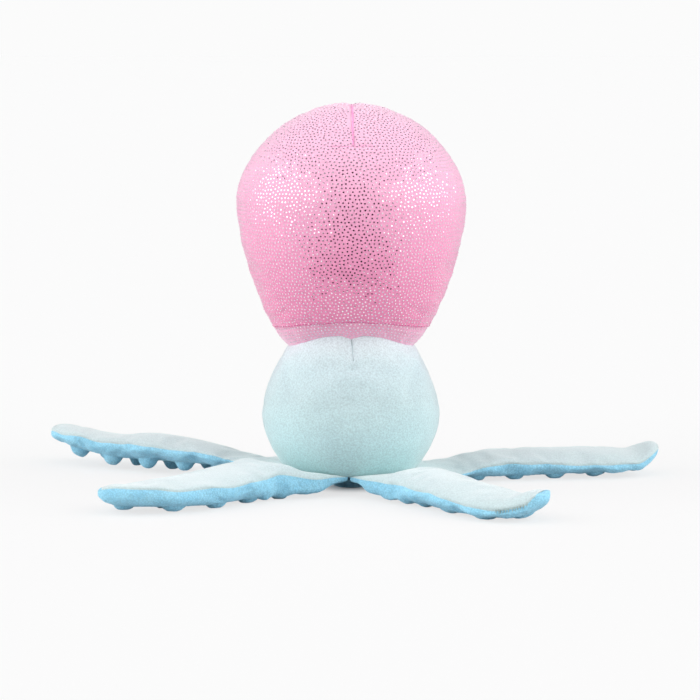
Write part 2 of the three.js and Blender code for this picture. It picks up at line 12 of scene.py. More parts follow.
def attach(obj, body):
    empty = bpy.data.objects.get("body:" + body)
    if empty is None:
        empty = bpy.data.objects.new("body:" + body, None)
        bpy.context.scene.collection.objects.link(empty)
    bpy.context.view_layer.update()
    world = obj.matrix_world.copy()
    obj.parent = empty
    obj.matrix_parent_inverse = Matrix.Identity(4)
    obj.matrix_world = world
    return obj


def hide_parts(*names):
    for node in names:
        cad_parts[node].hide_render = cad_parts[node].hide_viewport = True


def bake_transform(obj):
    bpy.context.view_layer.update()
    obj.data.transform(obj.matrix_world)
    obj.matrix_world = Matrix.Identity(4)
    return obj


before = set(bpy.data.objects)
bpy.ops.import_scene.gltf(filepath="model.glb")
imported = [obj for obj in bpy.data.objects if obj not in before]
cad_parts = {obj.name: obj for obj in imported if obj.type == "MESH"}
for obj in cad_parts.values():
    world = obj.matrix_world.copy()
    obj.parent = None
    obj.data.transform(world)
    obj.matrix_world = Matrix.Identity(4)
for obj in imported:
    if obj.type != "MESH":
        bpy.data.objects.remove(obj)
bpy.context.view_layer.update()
scene = bpy.context.scene
chance = np.random.default_rng(11)
MM = 0.001

# Body sizes in millimetres, as in the part's source
FOOT_RADIUS = 9.0
BASE_DEPTH = 10.5
BASE_SEAM_RADIUS = 36.5
HEAD_RADIUS = 50.0
HEAD_WIDEST = 42.5
HEAD_LOWER_BEND = 1.8
HEAD_UPPER_BEND = 1.65
NECK_HEIGHT = 81.0
NECK_RADIUS = 35.2
NECK_RISE = 9.0
CREASE_HEIGHT = 91.5
CREASE_RADIUS = 44.2
CREASE_RISE = 5.8
MANTLE_RADIUS = 64.4
MANTLE_HALF_DEPTH = 60.0
MANTLE_WIDEST = 163.1
MANTLE_TOP = 217.1
MANTLE_LOWER_BEND = 1.85
MANTLE_CROWN_BEND = 1.18

# Tentacle sizes in millimetres, as in the part's source
HINGE_RADIUS = 38.4
ROOT_WIDTH = 46.0
ROOT_THICKNESS = 2.8
LIMB_WIDTH = 40.0
LIMB_END_THICKNESS = 11.0
SOLE_SQUARENESS = 3.0
TIP_ROUND = 34.0
END_ROUND = 12.0
FLOOR_GAP = 0.1
SUCKER_RADIUS = 5.6
SUCKER_PITCH = 24.0
SUCKER_ROW_OFFSET = 8.8
SUCKER_ROOT_MARGIN = 20.0
SUCKER_TIP_MARGIN = 27.0
SUCKER_LAST_MARGIN = 14.0
SUCKER_LAST_ROOM = 16.0
SUCKER_STAGGER = 17.0

# Each tentacle's lie

# Sucker is how far its suckers stand out, and seam the share of its thickness
# below the seam. Over the swell it grows plump, and over the drop its sole comes down to the floor.
# Stagger sets the right row of suckers on from the left one. Reach is how far, in degrees round the
# base seam, the root is sewn in on the right and on the left, and skirt is the side, 1 for the left,
# on which the sole hangs lower at the root. Plump is how far the top stands up beside the root, and
# tip_drop is how far, as a share of the thickness, the seam comes down towards the tip. Hitch is how
# far the skirt's side is drawn up beside the root. Wrap is how far, as a share of the thickness, the
# sole comes up round the tip, and wrap_room where before the tip that starts and ends. Cap is the length
# of the tip that the sole covers on top too.
PLAIN_LIMB = dict(stagger=0, skirt=0, plump=0, tip_drop=0, hitch=0, wrap=0, wrap_room=(12, 4), cap=0)
LIMBS = [
    dict(PLAIN_LIMB, name="near_left", azimuth=218, length=130, thickness=20, seam=0.66, sucker=2.6,
         swell=32, drop=18, root_turn=11, tip_turn=-46, lean=-1, tip_lean=7, tip_lift=0, lift_start=0.5,
         reach=(33, 49.5), skirt=1, plump=2.6, hitch=1.8, wrap=0.2, wrap_room=(40, 8), cap=2.5),
    dict(PLAIN_LIMB, name="near_right", azimuth=305, length=124, thickness=20, seam=0.58, sucker=1.6,
         swell=39, drop=38, root_turn=-2, tip_turn=28, lean=-1, tip_lean=1, tip_lift=5, lift_start=0.83,
         reach=(36.5, 38), skirt=-1, tip_drop=0.2, wrap=0.54, wrap_room=(7.5, 2), cap=3.5),
    dict(PLAIN_LIMB, name="far_right", azimuth=24, length=149, thickness=15, seam=0.56, sucker=2.5,
         swell=59, drop=25, root_turn=-16, tip_turn=4, lean=1, tip_lean=4, tip_lift=6, lift_start=0.88,
         reach=(38, 38), stagger=SUCKER_STAGGER),
    dict(PLAIN_LIMB, name="far_left", azimuth=150, length=167, thickness=20, seam=0.53, sucker=5.0,
         swell=100, drop=34, root_turn=7, tip_turn=-16, lean=8, tip_lean=10, tip_lift=5, lift_start=0.66,
         reach=(38, 33), stagger=SUCKER_STAGGER),
]


# Small helpers for numbers and meshes

NOISE_SHIFT = (17.3, 5.1, 9.7)


def smoothstep(value, low, high):
    """A smooth rise from 0 at low to 1 at high."""
    t = np.clip((np.asarray(value, float) - low) / (high - low), 0, 1)
    return t * t * (3 - 2 * t)


def mix(a, b, t):
    return a + (b - a) * t


def power(value, exponent):
    return np.sign(value) * np.abs(value) ** exponent


def ridge(distance, width):
    """A rounded ridge: 1 on its line, and gone a few widths beside it."""
    return np.exp(-(distance / width) ** 2)


def fade(distance, spread):
    """1 on a line, with a slow fade on both sides of it."""
    return np.exp(-np.abs(distance) / spread)


def noise_at(points, size, seed):
    """Smooth noise from -1 to 1 at each point, with lumps of about that size."""
    shift = Vector([seed * part for part in NOISE_SHIFT])
    return np.array([noise.noise(Vector(p) / size + shift) for p in points])


def folds_round(angle, radius, height, stretch, size, seed):
    """Noise round a seam, in folds that run up and down: stretch is the share of the height that counts."""
    return noise_at(np.stack([angle * radius, height * stretch, angle * 0], axis=1), size, seed)


def soft_lumps(points, kinds, seed):
    """Soft lumps. Kinds are pairs of a height and a size in millimetres, and each has the next seed."""
    return sum(height * noise_at(points, size, seed + i) for i, (height, size) in enumerate(kinds))


def relief(heights, forms):
    """Adds up named forms, each with its own height in millimetres."""
    return sum(heights[name] * form for name, form in forms.items())


def add_object(name, data):
    made = bpy.data.objects.new(name, data)
    scene.collection.objects.link(made)
    return made


def shade_smooth(mesh):
    mesh.polygons.foreach_set("use_smooth", np.ones(len(mesh.polygons), bool))


def mesh_object(name, points, faces, panels=None):
    """A smooth-shaded object from points in millimetres. Panels gives each face's panel number."""
    mesh = bpy.data.meshes.new(name)
    corners = np.array([tuple(point) for point in points])
    mesh.from_pydata((corners * MM).tolist(), [], faces)
    if panels is not None:
        mesh.polygons.foreach_set("material_index", np.asarray(panels, np.int32))
    shade_smooth(mesh)
    mesh.update()
    return add_object(name, mesh)


def read_vectors(rows, name):
    flat = np.zeros(len(rows) * 3, np.float32)
    rows.foreach_get(name, flat)
    return flat.reshape(-1, 3).astype(float)


def points_of(obj):
    return read_vectors(obj.data.vertices, "co") / MM


def normals_of(obj):
    return read_vectors(obj.data.vertex_normals, "vector")


def place_points(obj, points):
    obj.data.vertices.foreach_set("co", (points * MM).astype(np.float32).ravel())
    obj.data.update()


def swell_points(obj, heights):
    """Moves each point along its normal by its own height in millimetres."""
    place_points(obj, points_of(obj) + normals_of(obj) * heights[:, None])


def grid_faces(rows, columns, wrap):
    """Quads of a grid of rows and columns, joined round where it wraps."""
    spans = columns if wrap else columns - 1
    faces = []
    for i in range(rows - 1):
        for j in range(spans):
            k = (j + 1) % columns
            faces.append((i * columns + j, i * columns + k, (i + 1) * columns + k, (i + 1) * columns + j))
    return faces


def circle(centre, first, second, radius, count):
    """Points of a circle that lies in two directions."""
    turns = [2 * math.pi * k / count for k in range(count)]
    return [centre + (first * math.cos(turn) + second * math.sin(turn)) * radius for turn in turns]


def solved_mesh(obj):
    """A mesh with the object's modifiers applied. The object loses them."""
    graph = bpy.context.evaluated_depsgraph_get()
    made = bpy.data.meshes.new_from_object(obj.evaluated_get(graph))
    obj.modifiers.clear()
    return made


def subdivided(obj, levels):
    """Rounds the object's mesh with that many subdivisions."""
    modifier = obj.modifiers.new("round", "SUBSURF")
    modifier.levels = levels
    obj.data = solved_mesh(obj)


def split_panels(obj, names):
    """One object for each panel of the mesh, and the whole is removed."""
    made = []
    for index, name in enumerate(names):
        shape = bmesh.new()
        shape.from_mesh(obj.data)
        others = [face for face in shape.faces if face.material_index != index]
        bmesh.ops.delete(shape, geom=others, context="FACES")
        for face in shape.faces:
            face.material_index = 0
        mesh = bpy.data.meshes.new(name)
        shape.to_mesh(mesh)
        shape.free()
        made.append(add_object(name, mesh))
    bpy.data.objects.remove(obj)
    return made


def cover_tree(*covers):
    """A search tree over the faces of one or more covers."""
    points, faces = [], []
    for cover in covers:
        start = len(points)
        points += [tuple(p) for p in points_of(cover)]
        faces += [tuple(start + v for v in face.vertices) for face in cover.data.polygons]
    return BVHTree.FromPolygons(points, faces)


# Stuffing: the cloth solver blows each cover up against its sewn lines

CLOTH_FRAMES = 20
CLOTH_SETTINGS = dict(quality=6, mass=0.2, tension_stiffness=20, compression_stiffness=20, shear_stiffness=8,
                      bending_stiffness=1.5, use_pressure=True, uniform_pressure_force=4.0, shrink_min=-0.02,
                      vertex_group_mass="sewn")


def stuffed(obj, sewn, cap):
    """Swells a cover with the cloth solver, by the cap at most. Sewn gives each point's hold, from 0 to 1."""
    rest = points_of(obj)
    group = obj.vertex_groups.new(name="sewn")
    for index in np.flatnonzero(sewn > 0):
        group.add([int(index)], float(sewn[index]), "REPLACE")
    cloth = obj.modifiers.new("stuffing", "CLOTH")
    for name, value in CLOTH_SETTINGS.items():
        setattr(cloth.settings, name, value)
    cloth.settings.effector_weights.gravity = 0
    cloth.point_cache.frame_start = 1
    cloth.point_cache.frame_end = CLOTH_FRAMES
    for number in range(1, CLOTH_FRAMES + 1):
        scene.frame_set(number)
    solved = solved_mesh(obj)
    move = read_vectors(solved.vertices, "co") / MM - rest
    bpy.data.meshes.remove(solved)
    obj.vertex_groups.clear()
    scene.frame_set(1)
    length = np.linalg.norm(move, axis=1, keepdims=True)
    place_points(obj, rest + move * np.minimum(1, cap / np.maximum(length, 1e-6)))


# Materials

def linear(red, green, blue):
    """Linear colour from screen values of 0 to 255."""
    def channel(value):
        value /= 255
        return value / 12.92 if value <= 0.04045 else ((value + 0.055) / 1.055) ** 2.4
    return (channel(red), channel(green), channel(blue), 1.0)


def shade(colour, share):
    return tuple(value * share for value in colour[:3]) + (1.0,)


def blank_material(name):
    """A material, its node tree and its Principled shader."""
    made = bpy.data.materials.new(name)
    made.use_nodes = True
    return made, made.node_tree, made.node_tree.nodes["Principled BSDF"]


def set_values(node, values):
    """Sets some of a node's inputs."""
    for name, value in values.items():
        node.inputs[name].default_value = value


def add_node(tree, kind, values):
    """A node of that kind, with some of its inputs set."""
    node = tree.nodes.new("ShaderNode" + kind)
    set_values(node, values)
    return node


def add_placed(tree, kind, values):
    """A node that reads the place in the object's own space."""
    node = add_node(tree, kind, values)
    where = tree.nodes.new("ShaderNodeTexCoord")
    tree.links.new(where.outputs["Object"], node.inputs["Vector"])
    return node


def add_noise(tree, size, detail, rough=0.6):
    """Noise in the object's own space, with grains of that size in millimetres."""
    values = {"Scale": 1 / (size * MM), "Detail": detail, "Roughness": rough}
    return add_placed(tree, "TexNoise", values).outputs["Fac"]


def add_ramp(tree, source, stops):
    """A colour that follows a value. Stops are pairs of position and linear colour."""
    ramp = tree.nodes.new("ShaderNodeValToRGB")
    while len(ramp.color_ramp.elements) < len(stops):
        ramp.color_ramp.elements.new(0.5)
    for element, (position, colour) in zip(ramp.color_ramp.elements, stops):
        element.position = position
        element.color = colour
    tree.links.new(source, ramp.inputs["Fac"])
    return ramp.outputs["Color"]


def paint(tree, shader, source, stops):
    """Colours a shader by a value."""
    tree.links.new(add_ramp(tree, source, stops), shader.inputs["Base Color"])


def add_tint(tree, base, tint):
    """Multiplies one colour by another."""
    node = tree.nodes.new("ShaderNodeMix")
    node.data_type = "RGBA"
    node.blend_type = "MULTIPLY"
    node.inputs["Factor"].default_value = 1.0
    tree.links.new(base, node.inputs["A"])
    tree.links.new(tint, node.inputs["B"])
    return node.outputs["Result"]


def add_bump(tree, shader, source, depth, strength):
    """Relief that follows a value, with its depth in millimetres."""
    bump = add_node(tree, "Bump", {"Distance": depth * MM, "Strength": strength})
    tree.links.new(source, bump.inputs["Height"])
    tree.links.new(bump.outputs["Normal"], shader.inputs["Normal"])


def add_height_shade(tree, colours):
    """A colour that changes with height, which paints shade and light. Colours are pairs of a height in
    millimetres and a linear colour.
    """
    low, high = colours[0][0], colours[-1][0]
    split = add_placed(tree, "SeparateXYZ", {})
    share = add_node(tree, "MapRange", {"From Min": low * MM, "From Max": high * MM})
    tree.links.new(split.outputs["Z"], share.inputs["Value"])
    stops = [((height - low) / (high - low), colour) for height, colour in colours]
    return add_ramp(tree, share.outputs["Result"], stops)


def velboa(name, colours, sheen_colour, contrast=0.1):
    """Short brushed pile: fine grains, soft patches where the pile lies another way, and sheen.

    Its colour also follows height: painted shade where less light falls, and painted light where more falls.
    """
    made, tree, shader = blank_material(name)
    white = (1.0, 1.0, 1.0, 1.0)
    grain = add_noise(tree, size=0.9, detail=3)
    dark_grain = shade(white, 1 - contrast)
    light_grain = shade(white, 1 + 0.8 * contrast)
    pile = add_ramp(tree, grain, [(0.32, dark_grain), (0.66, light_grain)])
    patch = add_noise(tree, size=26, detail=2)
    lay = add_ramp(tree, patch, [(0.35, (0.96, 0.965, 0.97, 1.0)), (0.65, white)])
    result = add_tint(tree, pile, lay)
    result = add_tint(tree, result, add_height_shade(tree, colours))
    tree.links.new(result, shader.inputs["Base Color"])
    set_values(shader, {"Roughness": 0.85, "Specular IOR Level": 0.15})
    set_values(shader, {"Sheen Weight": 0.8, "Sheen Roughness": 0.45, "Sheen Tint": sheen_colour})
    add_bump(tree, shader, grain, depth=0.5, strength=0.55)
    return made


def fleece(name, colour):
    """Coral fleece: tight curls that show as light tufts over a darker ground."""
    made, tree, shader = blank_material(name)
    curl_size = 1.0
    curls = add_placed(tree, "TexVoronoi", {"Scale": 1 / (curl_size * MM)}).outputs["Distance"]
    tufts = add_ramp(tree, curls, [(0.1, shade(colour, 1.06)), (0.75, shade(colour, 0.84))])
    patch = add_noise(tree, size=8, detail=3)
    lay = add_ramp(tree, patch, [(0.32, (0.8, 0.88, 0.92, 1.0)), (0.66, (1.0, 1.0, 1.0, 1.0))])
    tree.links.new(add_tint(tree, tufts, lay), shader.inputs["Base Color"])
    set_values(shader, {"Roughness": 0.9, "Specular IOR Level": 0.12})
    set_values(shader, {"Sheen Weight": 0.35, "Sheen Roughness": 0.5, "Sheen Tint": linear(214, 240, 250)})
    add_bump(tree, shader, curls, depth=-0.5, strength=0.45)
    return made


def foil(name):
    """Thin pressed foil, a little worn."""
    made, tree, shader = blank_material(name)
    wear = add_noise(tree, size=3, detail=2)
    paint(tree, shader, wear, [(0.3, linear(240, 222, 232)), (0.7, linear(255, 250, 253))])
    set_values(shader, {"Metallic": 1.0, "Roughness": 0.14})
    return made


def thread(name, colour):
    """Embroidery thread: fine parallel strands with a soft gloss."""
    made, tree, shader = blank_material(name)
    waves = {"Scale": 200.0, "Distortion": 1.5, "Detail": 2}
    strands = add_placed(tree, "TexWave", waves).outputs["Fac"]
    paint(tree, shader, strands, [(0.1, shade(colour, 0.76)), (0.9, shade(colour, 1.14))])
    set_values(shader, {"Roughness": 0.42, "Specular IOR Level": 0.45})
    add_bump(tree, shader, strands, depth=0.3, strength=0.6)
    return made


def fibre(name):
    """Loose polyester fibre."""
    made, tree, shader = blank_material(name)
    strands = add_noise(tree, size=2.5, detail=6, rough=0.75)
    paint(tree, shader, strands, [(0.3, linear(226, 227, 226)), (0.7, linear(250, 250, 248))])
    set_values(shader, {"Roughness": 0.95, "Sheen Weight": 0.3})
    add_bump(tree, shader, strands, depth=1.0, strength=0.8)
    return made


def blown_plastic(name):
    """The squeaker's blown plastic, faintly cloudy."""
    made, tree, shader = blank_material(name)
    cloud = add_noise(tree, size=9, detail=4)
    paint(tree, shader, cloud, [(0.3, linear(224, 222, 212)), (0.7, linear(238, 236, 229))])
    set_values(shader, {"Roughness": 0.38, "Subsurface Weight": 0.15})
    add_bump(tree, shader, cloud, depth=0.1, strength=0.3)
    return made


# Colours by height are painted shade and light. Each cover is paler where more light falls, at the mantle's
# crown and the head's top. It is deeper where less light falls, low down, and on the band under the mantle's
# rolled edge.
MINT_HEIGHT_SHADES = [(0, linear(198, 219, 221)), (20, linear(207, 223, 225))]
HEAD_HEIGHT_SHADES = [(14, linear(182, 219, 220)), (32, linear(198, 228, 231)), (54, linear(196, 218, 221)),
                (70, linear(206, 226, 230)), (84, linear(222, 236, 239))]
PINK_HEIGHT_SHADES = [(98, linear(248, 148, 190)), (122, linear(250, 158, 198)), (158, linear(252, 176, 211)),
                (186, linear(253, 192, 221)), (212, linear(253, 200, 226))]
BAND_HEIGHT_SHADES = [(82, linear(250, 186, 214)), (100, linear(248, 168, 202))]
MINT = velboa("mint_velboa", MINT_HEIGHT_SHADES, linear(250, 254, 254))
HEAD_MINT = velboa("mint_head_velboa", HEAD_HEIGHT_SHADES, linear(250, 254, 254), 0.15)
PINK = velboa("pink_dotted_velboa", PINK_HEIGHT_SHADES, linear(255, 236, 247))
PALE_PINK = velboa("pale_pink_velboa", BAND_HEIGHT_SHADES, linear(255, 238, 247))
BLUE = fleece("blue_fleece", linear(168, 228, 252))
FOIL = foil("foil_dots")
DARK_THREAD = thread("dark_thread", linear(44, 52, 66))
# The head's dart thread is a little darker than the cover. It is a seam thread whose tone also paints the
# shade in the dart's groove.
DART_SHADE_THREAD = thread("dart_shade_thread", linear(190, 208, 211))
MINT_THREAD = thread("mint_thread", linear(160, 180, 176))
PINK_THREAD = thread("pink_thread", linear(252, 164, 212))
# The crease thread is a seam thread in a deeper rose than the cover, and it paints the shadow line along the
# crease.
CREASE_SHADOW_THREAD = thread("crease_shadow_thread", linear(226, 98, 158))
FIBRE = fibre("fibre_fill")
PLASTIC = blown_plastic("squeaker_plastic")


def dress(obj, material):
    """Gives a piece its material and smooth shading."""
    obj.data.materials.clear()
    obj.data.materials.append(material)
    shade_smooth(obj.data)


# Body outlines: radius and height in millimetres, angles in radians and the neck's notch in degrees

NOTCH_DEPTH = 1.9
NOTCH_WIDTH = 5.0
LOBE_RISE = 0.8
LOBE_PLACE = 22.0
LOBE_WIDTH = 16.0
RING = 96
RING_ANGLES = -math.pi / 4 + np.arange(RING) * 2 * math.pi / RING


def head_radius(height):
    below = np.clip((HEAD_WIDEST - height) / (HEAD_WIDEST - BASE_DEPTH), 0, 1)
    above = np.clip((height - HEAD_WIDEST) / (NECK_HEIGHT - HEAD_WIDEST), 0, 1)
    lower = mix(HEAD_RADIUS, BASE_SEAM_RADIUS, below ** HEAD_LOWER_BEND)
    upper = mix(HEAD_RADIUS, NECK_RADIUS, above ** HEAD_UPPER_BEND)
    return np.where(height < HEAD_WIDEST, lower, upper)


def mantle_outline(share):
    """Radius and height from the crease, share 0, through the widest place, one half, to the crown."""
    share = np.asarray(share, float)
    up = np.clip(share * 2, 0, 1)
    lower = mix(MANTLE_RADIUS, CREASE_RADIUS, (1 - up) ** MANTLE_LOWER_BEND)
    turn = np.clip(share - 0.5, 0, 0.5) * math.pi
    rise = np.sin(turn) ** MANTLE_CROWN_BEND * (MANTLE_TOP - MANTLE_WIDEST)
    radius = np.where(share < 0.5, lower, MANTLE_RADIUS * np.cos(turn))
    height = np.where(share < 0.5, mix(CREASE_HEIGHT, MANTLE_WIDEST, up), MANTLE_WIDEST + rise)
    return radius, height


def mantle_points(share, angle, inset=0.0):
    share, angle = np.broadcast_arrays(share, angle)
    radius, height = mantle_outline(share)
    radius = radius - inset
    lift = CREASE_RISE * np.sin(angle) ** 2 * np.clip(1 - share * 2, 0, 1) ** 2
    flat = mix(1, MANTLE_HALF_DEPTH / MANTLE_RADIUS, smoothstep(share, 0, 0.5))
    return np.stack([radius * np.cos(angle), radius * flat * np.sin(angle), height + lift], axis=-1)


def crease_line(angle):
    """Height of the crease, high at the back and front."""
    return CREASE_HEIGHT + CREASE_RISE * np.sin(angle) ** 2


def neck_line(angle):
    """Height of the neck seam: high at the back and front, with a notch where its lobes meet."""
    off_back = np.degrees(np.arccos(np.clip(np.abs(np.sin(angle)), 0, 1)))
    notch = NOTCH_DEPTH * ridge(off_back, NOTCH_WIDTH) - LOBE_RISE * ridge(off_back - LOBE_PLACE, LOBE_WIDTH)
    return NECK_HEIGHT + NECK_RISE * np.sin(angle) ** 2 - notch


def ring_row(radius, height):
    """One ring of a turned cover. Its height may change round the ring."""
    heights = np.broadcast_to(height, RING)
    return np.stack([radius * np.cos(RING_ANGLES), radius * np.sin(RING_ANGLES), heights], axis=1)


# Halves: the mantle and the head are each a bag of a back and a front cover

SEWN_REACH = 1.2
SIDE_HOLD = 0.8
SIDE_SEAM_WIDTH = 1.3
SIDE_PUCKER_SPREAD = 6.0
SIDE_PUCKER_DRAW = (1, 0.15, 1)


def half_panels(points, faces):
    """Each face's panel: 0 at the back, and 1 at the front."""
    return [int(points[list(face), 1].mean() > 0) for face in faces]


def hold_sides(points, hold):
    """Adds the side seams to what is sewn down."""
    return np.maximum(hold, np.where(np.abs(points[:, 1]) < SEWN_REACH, SIDE_HOLD, 0.0))


def side_puckers(points, size, seed):
    """Small puckers beside the side seams."""
    return fade(points[:, 1], SIDE_PUCKER_SPREAD) * noise_at(points * SIDE_PUCKER_DRAW, size, seed)


def finish_halves(bag, body, material):
    """Splits a bag into its back and its front, and dresses them."""
    halves = split_panels(bag, [body + "_back", body + "_front"])
    for half in halves:
        dress(half, material)
        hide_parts(half.name + "_cover")
        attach(half, body)
    return halves


# Mantle: its lower edge is rolled in at the crease. Each ring of the hem has an inset and a rise.

MANTLE_HEM = ((6, 4), (2.6, 1.0), (0.8, -0.3))
MANTLE_LOWER_ROWS = 27
MANTLE_UPPER_ROWS = 22
CROWN_EDGE = 0.857
CROWN_DART_LENGTH = 52.0
DART_WIDTH = 1.2
DART_FADE = 16
DART_HOLD = 0.7
DART_HELD_SHORT = 8
DART_PUCKER_SPREAD = 8
DART_PUCKER_FADE = 6
DART_PUCKER_DRAW = (0.25, 1, 1)
DART_END_WIDTH = 13.0
DART_END_GROOVE = 1.3
DART_DRIFT = 1.2
SIDE_SEAM_RISE = 8
GATHER_SPREAD = 7
MANTLE_SWELL_CAP = 0.8
MANTLE_RELIEF = dict(side=-1.0, side_pucker=0.25, dart=-0.3, dart_end=-0.4, dart_pucker=0.45, gathers=0.55,
                     lumps=0.5)


def crown_grid():
    """Points of a square grid laid over the crown, whose rim meets the ring of columns."""
    count = RING // 4
    line = np.linspace(-1, 1, count + 1)
    a, b = np.meshgrid(line, line, indexing="ij")
    wide = np.abs(a) > np.abs(b)
    size = np.where(wide, a, b)
    safe = np.where(size == 0, 1, size)
    angle = np.where(wide, math.pi / 4 * b / safe, math.pi / 2 - math.pi / 4 * a / safe)
    angle = np.where(size < 0, angle + math.pi, angle)
    rim_radius = mantle_outline(CROWN_EDGE)[0]
    turn = np.arccos(np.clip(np.abs(size) * rim_radius / MANTLE_RADIUS, 0, 1))
    return mantle_points(0.5 + turn / math.pi, angle)


def crown_rim():
    """Grid places of the crown's rim, in the order of the ring's columns."""
    count = RING // 4
    right = [(count, j) for j in range(count)]
    far = [(count - i, count) for i in range(count)]
    left = [(0, count - j) for j in range(count)]
    near = [(i, 0) for i in range(count)]
    return right + far + left + near


def mantle_bag():
    """The whole mantle: rings from the hem to the crown's edge, closed by the crown's grid."""
    lower = np.linspace(0, 0.5, MANTLE_LOWER_ROWS)
    upper = np.linspace(0.5, CROWN_EDGE, MANTLE_UPPER_ROWS)[1:]
    rows = [mantle_points(0.0, RING_ANGLES, inset) + [0, 0, rise] for inset, rise in MANTLE_HEM]
    rows += [mantle_points(share, RING_ANGLES) for share in np.concatenate([lower, upper])]
    crown = crown_grid()
    size = len(crown)
    count = len(rows) - 1
    start = count * RING
    points = np.concatenate(rows[:-1] + [crown.reshape(-1, 3)])
    rim = [start + i * size + j for i, j in crown_rim()]
    last = range(start - RING, start)
    faces = grid_faces(count, RING, True)
    for j in range(RING):
        k = (j + 1) % RING
        faces.append((last[j], last[k], rim[k], rim[j]))
    for a, b, c, d in grid_faces(size, size, False):
        faces.append((start + a, start + d, start + c, start + b))
    return mesh_object("mantle_bag", points, faces, half_panels(points, faces))


def crown_distance(points):
    """Straight distance of each point from the top of the crown, in millimetres."""
    drop = MANTLE_TOP - points[:, 2]
    return np.hypot(np.hypot(points[:, 0], points[:, 1]), drop)


def mantle_seams(points):
    """Heights of the sewn lines: side seams, the crown dart and its end, and puckers at the crease."""
    x, y, z = points.T
    reach = crown_distance(points)
    dart_share = 1 - smoothstep(reach, CROWN_DART_LENGTH - DART_FADE, CROWN_DART_LENGTH)
    pucker_end = (CROWN_DART_LENGTH - DART_PUCKER_FADE, CROWN_DART_LENGTH + DART_PUCKER_FADE)
    drawn = fade(x, DART_PUCKER_SPREAD) * (1 - smoothstep(reach, *pucker_end))
    angle = np.arctan2(y, x)
    above = z - CREASE_HEIGHT - CREASE_RISE * np.sin(angle) ** 2
    folds = folds_round(angle, radius=45, height=above, stretch=0.12, size=5.0, seed=2)
    forms = dict(
        side=ridge(y, SIDE_SEAM_WIDTH) * smoothstep(z, CREASE_HEIGHT, CREASE_HEIGHT + SIDE_SEAM_RISE),
        side_pucker=side_puckers(points, size=5.0, seed=1),
        dart=ridge(x, DART_WIDTH) * dart_share,
        dart_end=ridge(reach - CROWN_DART_LENGTH, DART_END_GROOVE) * np.exp(-(x / DART_END_WIDTH) ** 4),
        dart_pucker=drawn * noise_at(points * DART_PUCKER_DRAW, size=5.0, seed=12),
        gathers=fade(above, GATHER_SPREAD) * folds,
        lumps=noise_at(points, size=38.0, seed=3))
    return relief(MANTLE_RELIEF, forms)


def make_mantle():
    bag = mantle_bag()
    points = points_of(bag)
    hold = np.where(points[:, 2] < CREASE_HEIGHT + CREASE_RISE + 1, 1.0, 0.0)
    hold = hold_sides(points, hold)
    held_dart = CROWN_DART_LENGTH - DART_HELD_SHORT
    on_dart = (np.abs(points[:, 0]) < SEWN_REACH) & (crown_distance(points) < held_dart)
    hold = np.maximum(hold, np.where(on_dart, DART_HOLD, 0.0))
    stuffed(bag, hold, MANTLE_SWELL_CAP)
    subdivided(bag, 2)
    swell_points(bag, mantle_seams(points_of(bag)))
    return finish_halves(bag, "mantle", PINK)


# Neck band: the hem between the mantle's rolled edge and the neck seam

BAND_TUCK = 1.6
BAND_INSET = 1.2
BAND_SWELL = 1.5
BAND_ROWS = 9
BAND_FOLD_DEPTH = 0.45


def band_surface(share, angle):
    """Points of the band from the neck seam, share 0, to the crease, share 1."""
    share, angle = np.broadcast_arrays(share, angle)
    low = neck_line(angle) - BAND_TUCK
    high = crease_line(angle) + BAND_TUCK
    radius = mix(NECK_RADIUS - BAND_INSET, CREASE_RADIUS, share) + BAND_SWELL * np.sin(share * math.pi)
    return np.stack([radius * np.cos(angle), radius * np.sin(angle), mix(low, high, share)], axis=-1)


def make_band():
    shares = np.linspace(0, 1, BAND_ROWS)
    rows = band_surface(shares[:, None], RING_ANGLES[None, :])
    band = mesh_object("neck_band_cloth", rows.reshape(-1, 3), grid_faces(BAND_ROWS, RING, True))
    subdivided(band, 1)
    points = points_of(band)
    angle = np.arctan2(points[:, 1], points[:, 0])
    folds = folds_round(angle, radius=42, height=points[:, 2], stretch=0.12, size=4.5, seed=2)
    swell_points(band, BAND_FOLD_DEPTH * folds)
    dress(band, PALE_PINK)
    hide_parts("neck_band")
    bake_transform(band)
    return band


# Head: rolled in at the base seam and at the neck. Each ring of a hem has an inset and a rise.

BASE_HEM = ((5, 1.8), (1.4, -0.3))
NECK_HEM = ((1.2, 1.0), (3.2, 0.4), (7, -1.2))
HEAD_ROWS = 27
HEAD_SWELL_CAP = 1.2
HEAD_DART_LEAN = 0.1
HEAD_DART_WIDTH = 0.9
HEAD_DART_FADE = (7, 14)
DIMPLE_PLACE = (1.5, 17)
DIMPLE_SIZE = (4.5, 2.4)
NECK_PUCKER_SPREAD = 5
PULL_SPREAD = 6
PULL_DRAW = (1, 1, 0.1)
HEAD_RELIEF = dict(side=-0.9, side_pucker=0.25, dart=-1.0, dimple=-1.2, pucker=0.3, lumps=0.45, root_pull=0.5)


def head_seams(points):
    """Heights of the head's sewn lines: side seams, the short dart under the neck and its dimple."""
    x, y, z = points.T
    angle = np.arctan2(y, x)
    below_neck = neck_line(angle) - z
    dart_share = 1 - smoothstep(below_neck, *HEAD_DART_FADE)
    dimple_across = (x - DIMPLE_PLACE[0]) / DIMPLE_SIZE[0]
    dimple_down = (below_neck - DIMPLE_PLACE[1]) / DIMPLE_SIZE[1]
    folds = folds_round(angle, radius=40, height=z, stretch=0.1, size=4.5, seed=5)
    forms = dict(
        side=ridge(y, SIDE_SEAM_WIDTH),
        side_pucker=side_puckers(points, size=4.5, seed=4),
        dart=ridge(x - HEAD_DART_LEAN * below_neck, HEAD_DART_WIDTH) * dart_share,
        dimple=np.exp(-dimple_across ** 2 - dimple_down ** 2),
        pucker=fade(below_neck, NECK_PUCKER_SPREAD) * folds,
        lumps=noise_at(points, size=30.0, seed=6),
        root_pull=fade(z - BASE_DEPTH, PULL_SPREAD) * noise_at(points * PULL_DRAW, size=7.0, seed=7))
    return relief(HEAD_RELIEF, forms)


